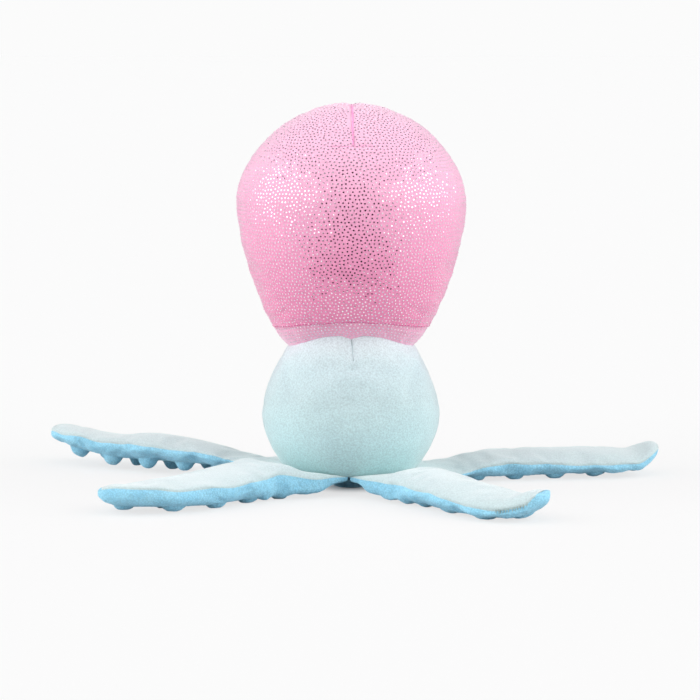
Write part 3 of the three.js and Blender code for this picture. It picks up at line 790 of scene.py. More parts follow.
def make_head():
    rows = [ring_row(BASE_SEAM_RADIUS - inset, BASE_DEPTH + rise) for inset, rise in BASE_HEM]
    for height in np.linspace(BASE_DEPTH, NECK_HEIGHT, HEAD_ROWS):
        share = (height - BASE_DEPTH) / (NECK_HEIGHT - BASE_DEPTH)
        lift = (neck_line(RING_ANGLES) - NECK_HEIGHT) * max(0, share * 2 - 1) ** 2
        rows.append(ring_row(head_radius(height), height + lift))
    rows += [ring_row(NECK_RADIUS - inset, neck_line(RING_ANGLES) + rise) for inset, rise in NECK_HEM]
    faces = grid_faces(len(rows), RING, True)
    points = np.concatenate(rows)
    ball = mesh_object("head_ball", points, faces, half_panels(points, faces))
    hold = np.where((points[:, 2] < BASE_DEPTH + 1) | (points[:, 2] > NECK_HEIGHT - 1), 1.0, 0.0)
    stuffed(ball, hold_sides(points, hold), HEAD_SWELL_CAP)
    subdivided(ball, 2)
    swell_points(ball, head_seams(points_of(ball)))
    return finish_halves(ball, "head", HEAD_MINT)


# Base panel: a stuffed fleece bowl that touches the floor in the middle. A lump has a height and a size.

FOOT_RINGS = [2.5, 5.5]
BOWL_ROWS = 16
BOWL_INSET = 0.6
BOWL_RIM_DROP = 1.5
BASE_LUMPS = ((0.5, 6.0), (0.4, 2.2))
BASE_LUMP_RISE = (0.3, 4)


def make_base():
    shares = np.linspace(0, 1, BOWL_ROWS)
    radii = np.concatenate([FOOT_RINGS, mix(FOOT_RADIUS, BASE_SEAM_RADIUS - BOWL_INSET, shares)])
    heights = np.concatenate([[0, 0], (BASE_DEPTH - BOWL_RIM_DROP) * (1 - (1 - shares) ** 2)])
    rows = [ring_row(radius, height) for radius, height in zip(radii, heights)]
    faces = grid_faces(len(rows), RING, True)
    faces.append(tuple(reversed(range(RING))))
    base = mesh_object("base_panel_cloth", np.concatenate(rows), faces)
    subdivided(base, 1)
    points = points_of(base)
    raised = smoothstep(points[:, 2], *BASE_LUMP_RISE)
    swell_points(base, soft_lumps(points, BASE_LUMPS, seed=8) * raised)
    dress(base, BLUE)
    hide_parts("base_panel")
    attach(base, "head")


# Tentacles, in millimetres

# A pair is where along the tentacle a change starts and ends, as shares of its length for the bends, the
# lean and the seam's drop. The two pairs named side are shares of half its width.
WALK_STEPS = 2000
ROOT_BEND = (0, 0.5)
TIP_BEND = (0.4, 1)
LEAN_CHANGE = (0.45, 1)
SEAM_DROP = (0.5, 0.75)
TIP_END_WIDTH = 0.02
TIP_END_THICKNESS = 0.05
LIMB_SPACING = 2.4
TIP_FINENESS = 1.5
TOP_SPANS = 16
SOLE_SPANS = 24
ROOT_RING = 36.0
ROOT_BLEND = 30.0
ROOT_HELD = 16.0
SKIRT_DEPTH = 6.5
SKIRT_ROOM_SHARE = 0.85
SKIRT_END = (18.0, 58.0)
SKIRT_ROOT_SHARE = 0.4
SKIRT_ROOT_END = 14.0
SKIRT_SIDE = (0.2, 0.9)
HITCH_START = (2.0, 9.0)
HITCH_END = (24.0, 42.0)
HITCH_SIDE = (0.1, 0.9)
HITCH_EASE = 0.65
SCALLOP_PITCH = 12.0
SCALLOP_DEPTH = 1.5
PLUMP_PLACE = 18.0
PLUMP_SPREAD = 13.0

# Seams, suckers and lumps of the tentacles, in millimetres

# The seam is free past the root, short of the tip and out at the sides. Suckers fade out between two shares
# of the seam's height. A lump has a height and a size. Apart keeps the noise of the two sides different.
SEAM_FREE_ROOT = (14, 34)
SEAM_FREE_TIP = (0, 20)
SEAM_SIDES = (11, 17)
BULGE_HEIGHT = 0.8
BULGE_BELOW = 4
BULGE_SPREAD = 4
GROOVE_DEPTH = 0.5
GROOVE_WIDTH = 0.9
WANDER_HEIGHT = 1.1
WANDER_SIZE = 13.0
WANDER_SPREAD = 4
WANDER_APART = 60
SUCKER_EDGE = (0.3, 0.9)
DOME_SQUARENESS = 2.4
DOME_FULLNESS = 0.7
TOP_LUMPS = ((0.4, 17.0),)
SOLE_LUMPS = ((0.28, 4.5), (0.18, 1.9))
LUMP_FREE = (0, 2)

# Stuffing of the tentacles: the seam's hold and the fill are shares
LIMB_SEAM_HOLD = 0.85
LIMB_SWELL_CAP = 0.7


def limb_stations(limb, spacing):
    """Stations along a tentacle in its own frame: the root hinge is the origin and +X leads away."""
    length = float(limb["length"])
    body = np.linspace(0, length - TIP_ROUND, int((length - TIP_ROUND) / spacing) + 1)
    turn = np.linspace(0, math.pi / 2, int(TIP_ROUND / spacing * TIP_FINENESS) + 1)[1:]
    along = np.concatenate([body, length - TIP_ROUND + TIP_ROUND * np.sin(turn)])
    fine = np.linspace(0, 1, WALK_STEPS + 1)
    heading = np.radians(limb["root_turn"] * smoothstep(fine, *ROOT_BEND)
                         + limb["tip_turn"] * smoothstep(fine, *TIP_BEND))
    step = length / WALK_STEPS
    between = (heading[1:] + heading[:-1]) / 2
    walk_x = np.concatenate([[0], np.cumsum(np.cos(between) * step)])
    walk_y = np.concatenate([[0], np.cumsum(np.sin(between) * step)])
    t = along / length
    way = np.interp(t, fine, heading)
    swell = smoothstep(along, 0, limb["swell"])
    drop = smoothstep(along, 0, limb["drop"])
    tip = np.clip((along - length + TIP_ROUND) / TIP_ROUND, 0, 1)
    end = np.clip((along - length + END_ROUND) / END_ROUND, 0, 1)
    taper = np.sqrt(np.clip(1 - tip ** 2, 0, 1))
    width = mix(ROOT_WIDTH, LIMB_WIDTH, swell) * np.maximum(taper, TIP_END_WIDTH)
    full = mix(ROOT_THICKNESS, mix(limb["thickness"], LIMB_END_THICKNESS, t), swell)
    crown = full * np.maximum(np.sqrt(np.clip(1 - end ** 2, 0, 1)), TIP_END_THICKNESS)
    lean = np.radians(mix(limb["lean"], limb["tip_lean"], smoothstep(t, *LEAN_CHANGE))) * drop
    forward = np.stack([np.cos(way), np.sin(way), way * 0], axis=1)
    flat_side = np.stack([-np.sin(way), np.cos(way), way * 0], axis=1)
    side = flat_side * np.cos(lean)[:, None] + np.array([0, 0, 1]) * np.sin(lean)[:, None]
    up = np.cross(forward, side)
    floor = FLOOR_GAP + limb["sucker"] - BASE_DEPTH
    lift = SUCKER_ROW_OFFSET * np.sin(np.abs(lean)) + limb["tip_lift"] * smoothstep(t, limb["lift_start"], 1)
    height = mix(-ROOT_THICKNESS / 2, floor, drop) + lift + limb["seam"] * (full - crown)
    place = np.stack([np.interp(t, fine, walk_x), np.interp(t, fine, walk_y), height], axis=1)
    wrap_start, wrap_end = limb["wrap_room"]
    wrap = limb["wrap"] * smoothstep(along, length - wrap_start, length - wrap_end)
    seam = crown * (limb["seam"] - limb["tip_drop"] * smoothstep(t, *SEAM_DROP) + wrap)
    return dict(along=along, place=place, side=side, up=up, forward=forward,
                half_width=width / 2, crown=crown, seam=seam)


def limb_ring_shares():
    """Across and above for one ring of a tentacle, as shares: the top arch, then the sole."""
    top = np.linspace(-math.pi / 2, math.pi / 2, TOP_SPANS + 1)
    sole = np.linspace(math.pi / 2, -math.pi / 2, SOLE_SPANS + 1)[1:-1]
    across = np.concatenate([np.sin(top), power(np.sin(sole), 2 / SOLE_SQUARENESS)])
    above = np.concatenate([np.cos(top), -power(np.cos(sole), 2 / SOLE_SQUARENESS)])
    return across, above


def shape_root(points, along, across, above, limb):
    """Hangs the scalloped skirt, hitches up its side and plumps the top beside the root."""
    deep = mix(SKIRT_ROOT_SHARE, 1, smoothstep(along, 0, SKIRT_ROOT_END))
    skirt = (SKIRT_DEPTH * deep * (1 - smoothstep(along, *SKIRT_END)))[:, None]
    skirt = skirt * smoothstep(across * limb["skirt"], *SKIRT_SIDE)[None, :]
    room = np.maximum(points[:, :, 2] + BASE_DEPTH - FLOOR_GAP, 0)
    depth = np.minimum(skirt, SKIRT_ROOM_SHARE * room)
    phase = along / SCALLOP_PITCH * 2 * math.pi
    depth = np.maximum(depth - SCALLOP_DEPTH * (0.5 - 0.5 * np.cos(phase))[:, None], 0)
    points[:, :, 2] -= depth * np.sqrt(np.maximum(-above, 0))[None, :]
    hitch = smoothstep(along, *HITCH_START) * (1 - smoothstep(along, *HITCH_END))
    drawn = smoothstep(across * limb["skirt"], *HITCH_SIDE) * (1 + HITCH_EASE * np.minimum(above, 0))
    points[:, :, 2] += limb["hitch"] * hitch[:, None] * drawn[None, :]
    plump = limb["plump"] * ridge(along - PLUMP_PLACE, PLUMP_SPREAD)[:, None]
    points[:, :, 2] += plump * np.maximum(above, 0)[None, :]


def join_root(points, along, across, limb):
    """Bends the root round the base seam."""
    right, left = limb["reach"]
    round_seam = np.radians(np.where(across < 0, across * right, across * left))
    root = np.stack([ROOT_RING * np.cos(round_seam) - HINGE_RADIUS, ROOT_RING * np.sin(round_seam)], axis=1)
    joined = smoothstep(along, 0, ROOT_BLEND)[:, None, None]
    out = np.stack([along, along * 0], axis=1)[:, None, :]
    points[:, :, :2] = mix(root[None] + out, points[:, :, :2], joined)


def limb_bag(limb):
    """The whole cover of one tentacle: a tube closed at the tip, its root bent round the base seam."""
    stations = limb_stations(limb, LIMB_SPACING)
    along = stations["along"]
    across, above = limb_ring_shares()
    seam = stations["seam"]
    over = np.where(above > 0, (stations["crown"] - seam)[:, None], seam[:, None])
    offset = across[None, :] * stations["half_width"][:, None]
    height = seam[:, None] + above[None, :] * over
    points = (stations["place"][:, None, :] + stations["side"][:, None, :] * offset[..., None]
              + stations["up"][:, None, :] * height[..., None])
    shape_root(points, along, across, above, limb)
    join_root(points, along, across, limb)
    rows, columns = points.shape[:2]
    faces = grid_faces(rows, columns, True)
    open_top = along < limb["length"] - limb["cap"]
    panels = []
    for index in range(len(faces)):
        row, column = divmod(index, columns)
        panels.append(0 if column < TOP_SPANS and open_top[row] else 1)
    faces.append(tuple((rows - 1) * columns + j for j in range(columns)))
    panels.append(1 if limb["cap"] else 0)
    outward = [face[::-1] for face in faces]
    return mesh_object(limb["name"] + "_bag", points.reshape(-1, 3), outward, panels), stations


def along_and_across(points, stations):
    """Where each point lies on its tentacle: along, across, above the sole, and its nearest station."""
    near = np.argmin(((points[:, None, :2] - stations["place"][None, :, :2]) ** 2).sum(-1), axis=1)
    offset = points - stations["place"][near]
    along = stations["along"][near] + (offset * stations["forward"][near]).sum(1)
    across = (offset * stations["side"][near]).sum(1)
    above = (offset * stations["up"][near]).sum(1)
    return along, across, above, near


def height_off_seam(points, stations):
    """How far each point lies above its tentacle's seam."""
    above, near = along_and_across(points, stations)[2:]
    return above - stations["seam"][near]


def sucker_spots(limb):
    """Distances along and across of the suckers: two rows, and one at the tip where there is room."""
    spots = []
    for across, along in ((SUCKER_ROW_OFFSET, SUCKER_ROOT_MARGIN),
                          (-SUCKER_ROW_OFFSET, SUCKER_ROOT_MARGIN + limb["stagger"])):
        while along <= limb["length"] - SUCKER_TIP_MARGIN:
            spots.append((along, across))
            along += SUCKER_PITCH
    last = limb["length"] - SUCKER_LAST_MARGIN
    if last - max(spots)[0] > SUCKER_LAST_ROOM:
        spots.append((last, 0.0))
    return spots


def gather_seam(bag, stations, length, seed):
    """Draws the tentacle's seam in, lets it wander, and swells its sides beside the suckers."""
    points = points_of(bag)
    along, across, above, near = along_and_across(points, stations)
    off_seam = above - stations["seam"][near]
    free = smoothstep(along, *SEAM_FREE_ROOT) * smoothstep(length - along, *SEAM_FREE_TIP)
    beside = smoothstep(np.abs(across), *SEAM_SIDES) * free
    phase = (along - SUCKER_ROOT_MARGIN) / SUCKER_PITCH * 2 * math.pi
    bulges = BULGE_HEIGHT * np.cos(phase) * beside * ridge(off_seam + BULGE_BELOW, BULGE_SPREAD)
    swell_points(bag, bulges - GROOVE_DEPTH * ridge(off_seam, GROOVE_WIDTH) * beside)
    apart = np.sign(across) * WANDER_APART
    wander = noise_at(np.stack([along, apart, along * 0], axis=1), WANDER_SIZE, seed)
    points = points_of(bag)
    rise = WANDER_HEIGHT * wander * beside * ridge(off_seam, WANDER_SPREAD)
    points += stations["up"][near] * rise[:, None]
    place_points(bag, points)


def raise_suckers(sole, stations, limb):
    """Draws the sole out into rounded, stuffed suckers."""
    points = points_of(sole)
    along, across, above, near = along_and_across(points, stations)
    seam = stations["seam"][near]
    under = 1 - smoothstep(above, SUCKER_EDGE[0] * seam, SUCKER_EDGE[1] * seam)
    height = np.zeros(len(points))
    for spot_along, spot_across in sucker_spots(limb):
        reach = np.hypot(along - spot_along, across - spot_across) / SUCKER_RADIUS
        dome = (1 - np.clip(reach, 0, 1) ** DOME_SQUARENESS) ** DOME_FULLNESS
        height = np.maximum(height, dome * limb["sucker"])
    points -= stations["up"][near] * (height * under)[:, None]
    place_points(sole, points)


def limb_to_toy(points, limb):
    """Sets points of a tentacle's own frame into the toy's."""
    turn = math.radians(limb["azimuth"])
    x = points[:, 0] + HINGE_RADIUS
    y = points[:, 1]
    return np.stack([x * math.cos(turn) - y * math.sin(turn), x * math.sin(turn) + y * math.cos(turn),
                     points[:, 2] + BASE_DEPTH], axis=1)


def make_limb(limb, seed):
    bag, stations = limb_bag(limb)
    points = points_of(bag)
    along = along_and_across(points, stations)[0]
    column = np.arange(len(points)) % (TOP_SPANS + SOLE_SPANS)
    hold = np.where(along < ROOT_HELD, 1.0, 0.0)
    hold = np.maximum(hold, np.where((column == 0) | (column == TOP_SPANS), LIMB_SEAM_HOLD, 0.0))
    stuffed(bag, hold, LIMB_SWELL_CAP)
    subdivided(bag, 1)
    gather_seam(bag, stations, limb["length"], seed)
    top, sole = split_panels(bag, [limb["name"] + "_top", limb["name"] + "_sole"])
    points = points_of(top)
    free = smoothstep(height_off_seam(points, stations), *LUMP_FREE)
    swell_points(top, soft_lumps(points, TOP_LUMPS, seed + 1) * free)
    subdivided(sole, 1)
    raise_suckers(sole, stations, limb)
    points = points_of(sole)
    free = smoothstep(np.abs(height_off_seam(points, stations)), *LUMP_FREE)
    swell_points(sole, soft_lumps(points, SOLE_LUMPS, seed + 2) * free)
    for part, node, material, slot in ((top, "_top_panel", MINT, "mint_velboa"),
                                       (sole, "_sole_panel", BLUE, "blue_fleece")):
        points = limb_to_toy(points_of(part), limb)
        points[:, 2] = np.maximum(points[:, 2], FLOOR_GAP)
        place_points(part, points)
        dress(part, material)
        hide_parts(limb["name"] + node)
        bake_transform(part)


# Foil dots: small pressed discs, each tipped a little by the pile under it

DOT_SPACING = 2.4
DOT_ROW_SPACING = DOT_SPACING * 0.866
DOT_RADIUS = 0.48
DOT_CORNERS = 6
DOT_TIP = 0.09
DOT_SIZES = (0.88, 1.1)
DOT_JITTER = 0.3
DOT_MIDDLE_LIFT = 0.2
DOT_RIM_LIFT = 0.16
DOT_WANDER = 0.004
DOT_PUSH = 0.3
DOT_NEAREST = 0.1
DOTS_OFF_SEAM = 1.3
DOTS_OFF_DART = 1.5
DOTS_DART_SHORT = 10
OUTLINE_STEPS = 1500
MANTLE_DOT_MARGINS = (1.6, 1.0)
MANTLE_DOT_SHARES = (0.001, 0.999)
BAND_DOT_SHARES = (0.22, 0.86)
BAND_LENGTH = 15.0


def foil_dots(name, covers, spots):
    """Discs on the covers nearest to the given points."""
    tree = cover_tree(*covers)
    points, faces = [], []
    for spot in spots:
        place, normal = tree.find_nearest(Vector(spot))[:2]
        normal = (normal + Vector(chance.normal(0, DOT_TIP, 3))).normalized()
        first = normal.orthogonal().normalized()
        radius = DOT_RADIUS * chance.uniform(*DOT_SIZES)
        start = len(points)
        points.append(place + normal * DOT_MIDDLE_LIFT)
        points += circle(place + normal * DOT_RIM_LIFT, first, normal.cross(first), radius, DOT_CORNERS)
        faces += [(start, start + 1 + k, start + 1 + (k + 1) % DOT_CORNERS) for k in range(DOT_CORNERS)]
    dots = mesh_object(name, points, faces)
    dress(dots, FOIL)
    return dots


def dot_row(length):
    """Angles of the dots in one row of a turned surface, spaced about evenly along its length."""
    count = max(1, int(round(length / DOT_SPACING)))
    start = chance.uniform(0, 1)
    jitter = chance.normal(0, DOT_JITTER, count)
    return (np.arange(count) + start + jitter) / count * 2 * math.pi


def spread_out(spots, spacing, rounds):
    """Pushes crowded points apart until they lie about one spacing from each other."""
    spots = [Vector(spot) for spot in spots]
    for _ in range(rounds):
        tree = KDTree(len(spots))
        for index, spot in enumerate(spots):
            tree.insert(spot, index)
        tree.balance()
        moved = []
        for index, spot in enumerate(spots):
            push = Vector()
            for other, near, distance in tree.find_range(spot, spacing):
                if near != index:
                    crowding = spacing / max(distance, DOT_NEAREST) - 1
                    push += (spot - other) * (DOT_PUSH * crowding)
            moved.append(spot + push)
        spots = moved
    return np.array(spots)


def mantle_dots(covers):
    fine = np.linspace(0.0, 1.0, OUTLINE_STEPS)
    radius, height = mantle_outline(fine)
    arc = np.concatenate([[0], np.cumsum(np.hypot(np.diff(radius), np.diff(height)))])
    first, last = MANTLE_DOT_MARGINS
    rows = np.arange(first, arc[-1] - last, DOT_ROW_SPACING)
    shares = np.interp(rows, arc, fine)
    angles = [dot_row(length) for length in 2 * math.pi * np.interp(rows, arc, radius)]
    spots = []
    for share, row in zip(shares, angles):
        wander = chance.normal(0, DOT_WANDER, len(row))
        spots.append(mantle_points(np.clip(share + wander, *MANTLE_DOT_SHARES), row))
    spots = spread_out(np.concatenate(spots), spacing=DOT_SPACING * 1.08, rounds=6)
    on_seam = np.abs(spots[:, 1]) < DOTS_OFF_SEAM
    bare_dart = CROWN_DART_LENGTH - DOTS_DART_SHORT
    on_dart = (np.abs(spots[:, 0]) < DOTS_OFF_DART) & (crown_distance(spots) < bare_dart)
    return foil_dots("mantle_foil_dots", covers, spots[~(on_seam | on_dart)])


def band_dots(band):
    spots = []
    for share in np.arange(*BAND_DOT_SHARES, DOT_ROW_SPACING / BAND_LENGTH):
        row = dot_row(2 * math.pi * mix(NECK_RADIUS, CREASE_RADIUS, share))
        spots.append(band_surface(share, row))
    spots = spread_out(np.concatenate(spots), spacing=DOT_SPACING * 1.05, rounds=4)
    dots = foil_dots("band_foil_dots", [band], spots)
    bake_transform(dots)


# Eyes: plain satin-stitched discs on the front of the head, in millimetres

EYE_RADIUS = 8.0
EYE_SPREAD = 42.0
EYE_HEIGHT = 10.0
EYE_SWELL = 1.1
EYE_LIFT = 0.1
EYE_RINGS = 12
EYE_COLUMNS = 64
STRAND_DEPTH = 0.1
STRAND_PITCH = 0.7


def make_eye(side, node, name, cover):
    """A stitched disc that hugs the head's cover, swollen in the middle."""
    turn = math.pi / 2 - side * EYE_SPREAD / 2 / HEAD_RADIUS
    tree = cover_tree(cover)
    height = HEAD_WIDEST + EYE_HEIGHT
    radius = float(head_radius(height))
    centre, out = tree.find_nearest(Vector((radius * math.cos(turn), radius * math.sin(turn), height)))[:2]
    level = Vector((0, 0, 1)).cross(out).normalized()
    rise = out.cross(level)
    points = []
    for i in range(EYE_RINGS + 1):
        share = 1 - i / EYE_RINGS
        dome = EYE_SWELL * math.sqrt(max(0.0, 1 - share ** 2)) + EYE_LIFT
        strand_depth = STRAND_DEPTH if 0 < i < EYE_RINGS else 0
        for spot in circle(centre, level, rise, EYE_RADIUS * share, EYE_COLUMNS):
            place, normal = tree.find_nearest(spot)[:2]
            strand = strand_depth * math.sin(spot.z / STRAND_PITCH * 2 * math.pi)
            points.append(place + normal * (dome + strand))
    eye = mesh_object(name, points, grid_faces(EYE_RINGS + 1, EYE_COLUMNS, True))
    dress(eye, DARK_THREAD)
    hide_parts(node)
    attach(eye, "head")


# Fills: lumpy fibre inside each cover, a little smaller than the room it has. A lump has a height and a size.

FILL_VOXEL = 5.0
FILL_LUMPS = ((0.9, 14.0),)
FILL_SHRINK = 1.6


def make_fill(node, body, seed):
    fill = add_object(node + "_fibre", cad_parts[node].data.copy())
    remesh = fill.modifiers.new("even", "REMESH")
    remesh.mode = "VOXEL"
    remesh.voxel_size = FILL_VOXEL * MM
    fill.data = solved_mesh(fill)
    swell_points(fill, soft_lumps(points_of(fill), FILL_LUMPS, seed) - FILL_SHRINK)
    dress(fill, FIBRE)
    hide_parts(node)
    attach(fill, body)


# Seam threads, laid into the covers' grooves. Sink and end are shares of a thread's radius.

THREAD_SIDES = 6
THREAD_SINK = 0.1
THREAD_END = 0.3
CROWN_DART_RADIUS = 0.55
DART_END_RADIUS = 0.22
HEAD_DART_RADIUS = 0.3
CREASE_SHADOW_THREAD_RADIUS = 0.26
DART_TOP_TURN = 0.02
DART_END_TURN = 0.68
DART_WANDER = 0.5
DART_END_WANDER = 0.9
DART_STEPS = 60
DART_END_STEPS = 31
HEAD_DART_DROP = (0.3, 13.5)
HEAD_DART_STEPS = 32
CREASE_STEPS = 241
CREASE_SHARE = 0.004


def seam_thread(name, covers, path, radius, material, body):
    """A thread along a path, pulled onto the covers nearest to it."""
    tree = cover_tree(*covers)
    spots = []
    for spot in path:
        place, normal = tree.find_nearest(Vector(spot))[:2]
        spots.append((place - normal * radius * THREAD_SINK, normal))
    points = []
    for index, (place, normal) in enumerate(spots):
        ahead = spots[min(index + 1, len(spots) - 1)][0] - spots[max(index - 1, 0)][0]
        across = normal.cross(ahead).normalized()
        slim = THREAD_END if index in (0, len(spots) - 1) else 1.0
        points += circle(place, across, normal, radius * slim, THREAD_SIDES)
    made = mesh_object(name, points, grid_faces(len(spots), THREAD_SIDES, True))
    dress(made, material)
    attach(made, body)


def crown_dart_path(side):
    """Points from the crown down the middle of the back, side -1, or of the front, side 1."""
    turn = np.linspace(math.pi / 2 - DART_TOP_TURN, DART_END_TURN, DART_STEPS)
    path = mantle_points(0.5 + turn / math.pi, np.full(DART_STEPS, side * math.pi / 2))
    path[:, 0] += DART_WANDER * noise_at(path, size=9.0, seed=13) + np.linspace(0, DART_DRIFT, DART_STEPS)
    return path


def dart_end_path(side):
    """Points across the lower end of the crown dart."""
    across = np.linspace(-DART_END_WIDTH, DART_END_WIDTH, DART_END_STEPS)
    share = np.full(DART_END_STEPS, 0.5 + DART_END_TURN / math.pi)
    path = mantle_points(share, side * math.pi / 2 + across / mantle_outline(share)[0])
    path[:, 2] += DART_END_WANDER * noise_at(path, size=8.0, seed=14)
    return path


def head_dart_path(side):
    """Points of the short dart from the notch of the neck seam."""
    drop = np.linspace(*HEAD_DART_DROP, HEAD_DART_STEPS)
    height = float(neck_line(np.array(math.pi / 2))) - drop
    return np.stack([HEAD_DART_LEAN * drop, side * head_radius(height), height], axis=1)


def crease_path():
    """Points round the crease between the mantle and its band."""
    return mantle_points(CREASE_SHARE, np.linspace(0, 2 * math.pi, CREASE_STEPS))


# Ladder stitches that close the stuffing hole near one tentacle's tip, in millimetres

# They start and end before the tip. The profile's pairs are shares of a stitch's length and of its radius.
STITCH_SPACING = 0.7
STITCH_START = 20.5
STITCH_END = 6.0
STITCH_PITCH = 1.25
STITCH_RADIUS = 0.22
STITCH_TOP = 1.3
STITCH_FOOT = 1.1
STITCH_TOP_LIFT = 0.2
STITCH_FOOT_LIFT = 0.25
STITCH_PROFILE = ((0.0, 0.35), (0.2, 0.95), (0.5, 1.1), (0.8, 0.95), (1.0, 0.35))


def stitch(points, faces, start, end):
    """Adds one short thread, thinner at its ends, between two points."""
    way = (end - start).normalized()
    first = way.orthogonal().normalized()
    base = len(points)
    for share, size in STITCH_PROFILE:
        points += circle(start.lerp(end, share), first, way.cross(first), STITCH_RADIUS * size, THREAD_SIDES)
    for face in grid_faces(len(STITCH_PROFILE), THREAD_SIDES, True):
        faces.append(tuple(base + corner for corner in face))


def make_stitches(limb, side):
    """Stitches across the seam on one side of the tip."""
    top = cover_tree(bpy.data.objects[limb["name"] + "_top"])
    sole = cover_tree(bpy.data.objects[limb["name"] + "_sole"])
    stations = limb_stations(limb, STITCH_SPACING)
    wanted = np.arange(limb["length"] - STITCH_START, limb["length"] - STITCH_END, STITCH_PITCH)
    near = [int(np.argmin(np.abs(stations["along"] - along))) for along in wanted]
    seam_line = (stations["place"] + stations["side"] * side * stations["half_width"][:, None]
                 + stations["up"] * stations["seam"][:, None])
    points, faces = [], []
    for spot in limb_to_toy(seam_line[near], limb):
        high, high_out = top.find_nearest(Vector(spot) + Vector((0, 0, STITCH_TOP)))[:2]
        low, low_out = sole.find_nearest(Vector(spot) - Vector((0, 0, STITCH_FOOT)))[:2]
        stitch(points, faces, high + high_out * STITCH_TOP_LIFT, low + low_out * STITCH_FOOT_LIFT)
    made = mesh_object(limb["name"] + "_stitches", points, faces)
    dress(made, MINT_THREAD)
    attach(made, limb["name"] + "_tentacle")


# The toy's pieces

mantle_covers = make_mantle()
neck_band = make_band()
head_covers = make_head()
make_base()
for number, each in enumerate(LIMBS):
    make_limb(each, 20 + number * 5)
make_stitches(LIMBS[1], -1)
for place, side in (("back", -1), ("front", 1)):
    seam_thread("crown_dart_" + place, mantle_covers, crown_dart_path(side),
                CROWN_DART_RADIUS, PINK_THREAD, "mantle")
    seam_thread("crown_dart_end_" + place, mantle_covers, dart_end_path(side),
                DART_END_RADIUS, PINK_THREAD, "mantle")
    # The head's dart thread also paints the shade in the dart's groove.
    seam_thread("head_dart_" + place, head_covers, head_dart_path(side),
                HEAD_DART_RADIUS, DART_SHADE_THREAD, "head")
# The crease thread's deep rose is a painted shadow line along the crease.
seam_thread("crease_shadow_thread", mantle_covers, crease_path(), CREASE_SHADOW_THREAD_RADIUS, CREASE_SHADOW_THREAD, "mantle")
dots = mantle_dots(mantle_covers)
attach(dots, "mantle")
band_dots(neck_band)
make_eye(-1, "left_eye", "left_eye_stitching", head_covers[1])
make_eye(1, "right_eye", "right_eye_stitching", head_covers[1])
make_fill("head_fill", "head", 60)
make_fill("mantle_fill", "mantle", 61)
for number, each in enumerate(LIMBS):
    make_fill(each["name"] + "_fill", each["name"] + "_tentacle", 62 + number)
for node in ("squeaker_bulb", "squeaker_plug", "squeaker_reed"):
    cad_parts[node].data.materials.clear()
    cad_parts[node].data.materials.append(PLASTIC)


# Stage, light and camera: millimetres, with the surround's turns in degrees and linear colours

FLOOR_HALF_SIZE = 60000.0
FLOOR_DROP = 0.05
FLOOR_SEEN = 0.94
FLOOR_SCATTER = 0.6
FLOOR_GLOW = 0.94
FLOOR_GLOW_SHARE = 0.78
# Round the toy's foot the floor's glow falls to this share, over the radii of FOOT_SHADE: a painted shadow.
FOOT_SHADOW_GLOW_SHARE = 0.08
FOOT_SHADE = (4.0, 29.0)
DARK_FLAG = (0.014, 0.002, 0.006, 1.0)
TOP_FLAG = (0.46, 0.38, 0.43, 1.0)
FLAG_HALF_WIDTH = 280
FLAG_DISTANCE = 700
ROOF_HALF_SIZE = 900
ROOF_HEIGHT = 900
SURROUND_RADII = (195, 700)
SURROUND_TURNS = (-132, -48)
SURROUND_STEPS = 21
WORLD_LIGHT = (0.985, 0.99, 1.0, 1.0)
WORLD_WHITE = (0.966, 0.966, 0.966, 1.0)


def seen_directly(tree):
    """A value of 1 where the camera, a mirror or glass sees the surface, and 0 for light that it scatters."""
    path = tree.nodes.new("ShaderNodeLightPath")
    result = path.outputs["Is Camera Ray"]
    for ray in ("Is Glossy Ray", "Is Transmission Ray"):
        either = tree.nodes.new("ShaderNodeMath")
        either.operation = "MAXIMUM"
        tree.links.new(result, either.inputs[0])
        tree.links.new(path.outputs[ray], either.inputs[1])
        result = either.outputs[0]
    return result


def grey(brightness):
    return (brightness, brightness, brightness, 1.0)


def mixed(tree, share, first, second):
    """A mix of two shaders by a share."""
    node = tree.nodes.new("ShaderNodeMixShader")
    tree.links.new(share, node.inputs["Fac"])
    tree.links.new(first.outputs[0], node.inputs[1])
    tree.links.new(second.outputs[0], node.inputs[2])
    return node


def glow_share_with_foot_shadow(tree):
    """The floor's share of light from below, which fades out round the toy's foot as a painted shadow."""
    distance = add_placed(tree, "VectorMath", {})
    distance.operation = "LENGTH"
    share = add_node(tree, "MapRange", {"From Min": FOOT_SHADE[0] * MM, "From Max": FOOT_SHADE[1] * MM})
    share.interpolation_type = "SMOOTHSTEP"
    set_values(share, {"To Min": FOOT_SHADOW_GLOW_SHARE, "To Max": FLOOR_GLOW_SHARE})
    tree.links.new(distance.outputs["Value"], share.inputs["Value"])
    return share.outputs["Result"]


def make_floor():
    """White paper, partly lit from below where it is seen, as on a light table, so its shadows stay pale.
    Round the toy's foot a painted shadow darkens it.
    """
    corners = np.array([[-1, -1, 0], [1, -1, 0], [1, 1, 0], [-1, 1, 0]]) * FLOOR_HALF_SIZE
    floor = mesh_object("floor", corners + [0, 0, -FLOOR_DROP], [(0, 1, 2, 3)])
    made, tree, shader = blank_material("floor_paper")
    tree.nodes.remove(shader)
    seen_paper = add_node(tree, "BsdfDiffuse", {"Color": grey(FLOOR_SEEN)})
    glow = add_node(tree, "Emission", {"Color": grey(FLOOR_GLOW)})
    seen = mixed(tree, glow_share_with_foot_shadow(tree), seen_paper, glow)
    scatter = add_node(tree, "BsdfDiffuse", {"Color": grey(FLOOR_SCATTER)})
    result = mixed(tree, seen_directly(tree), scatter, seen)
    tree.links.new(result.outputs[0], tree.nodes["Material Output"].inputs["Surface"])
    floor.data.materials.append(made)


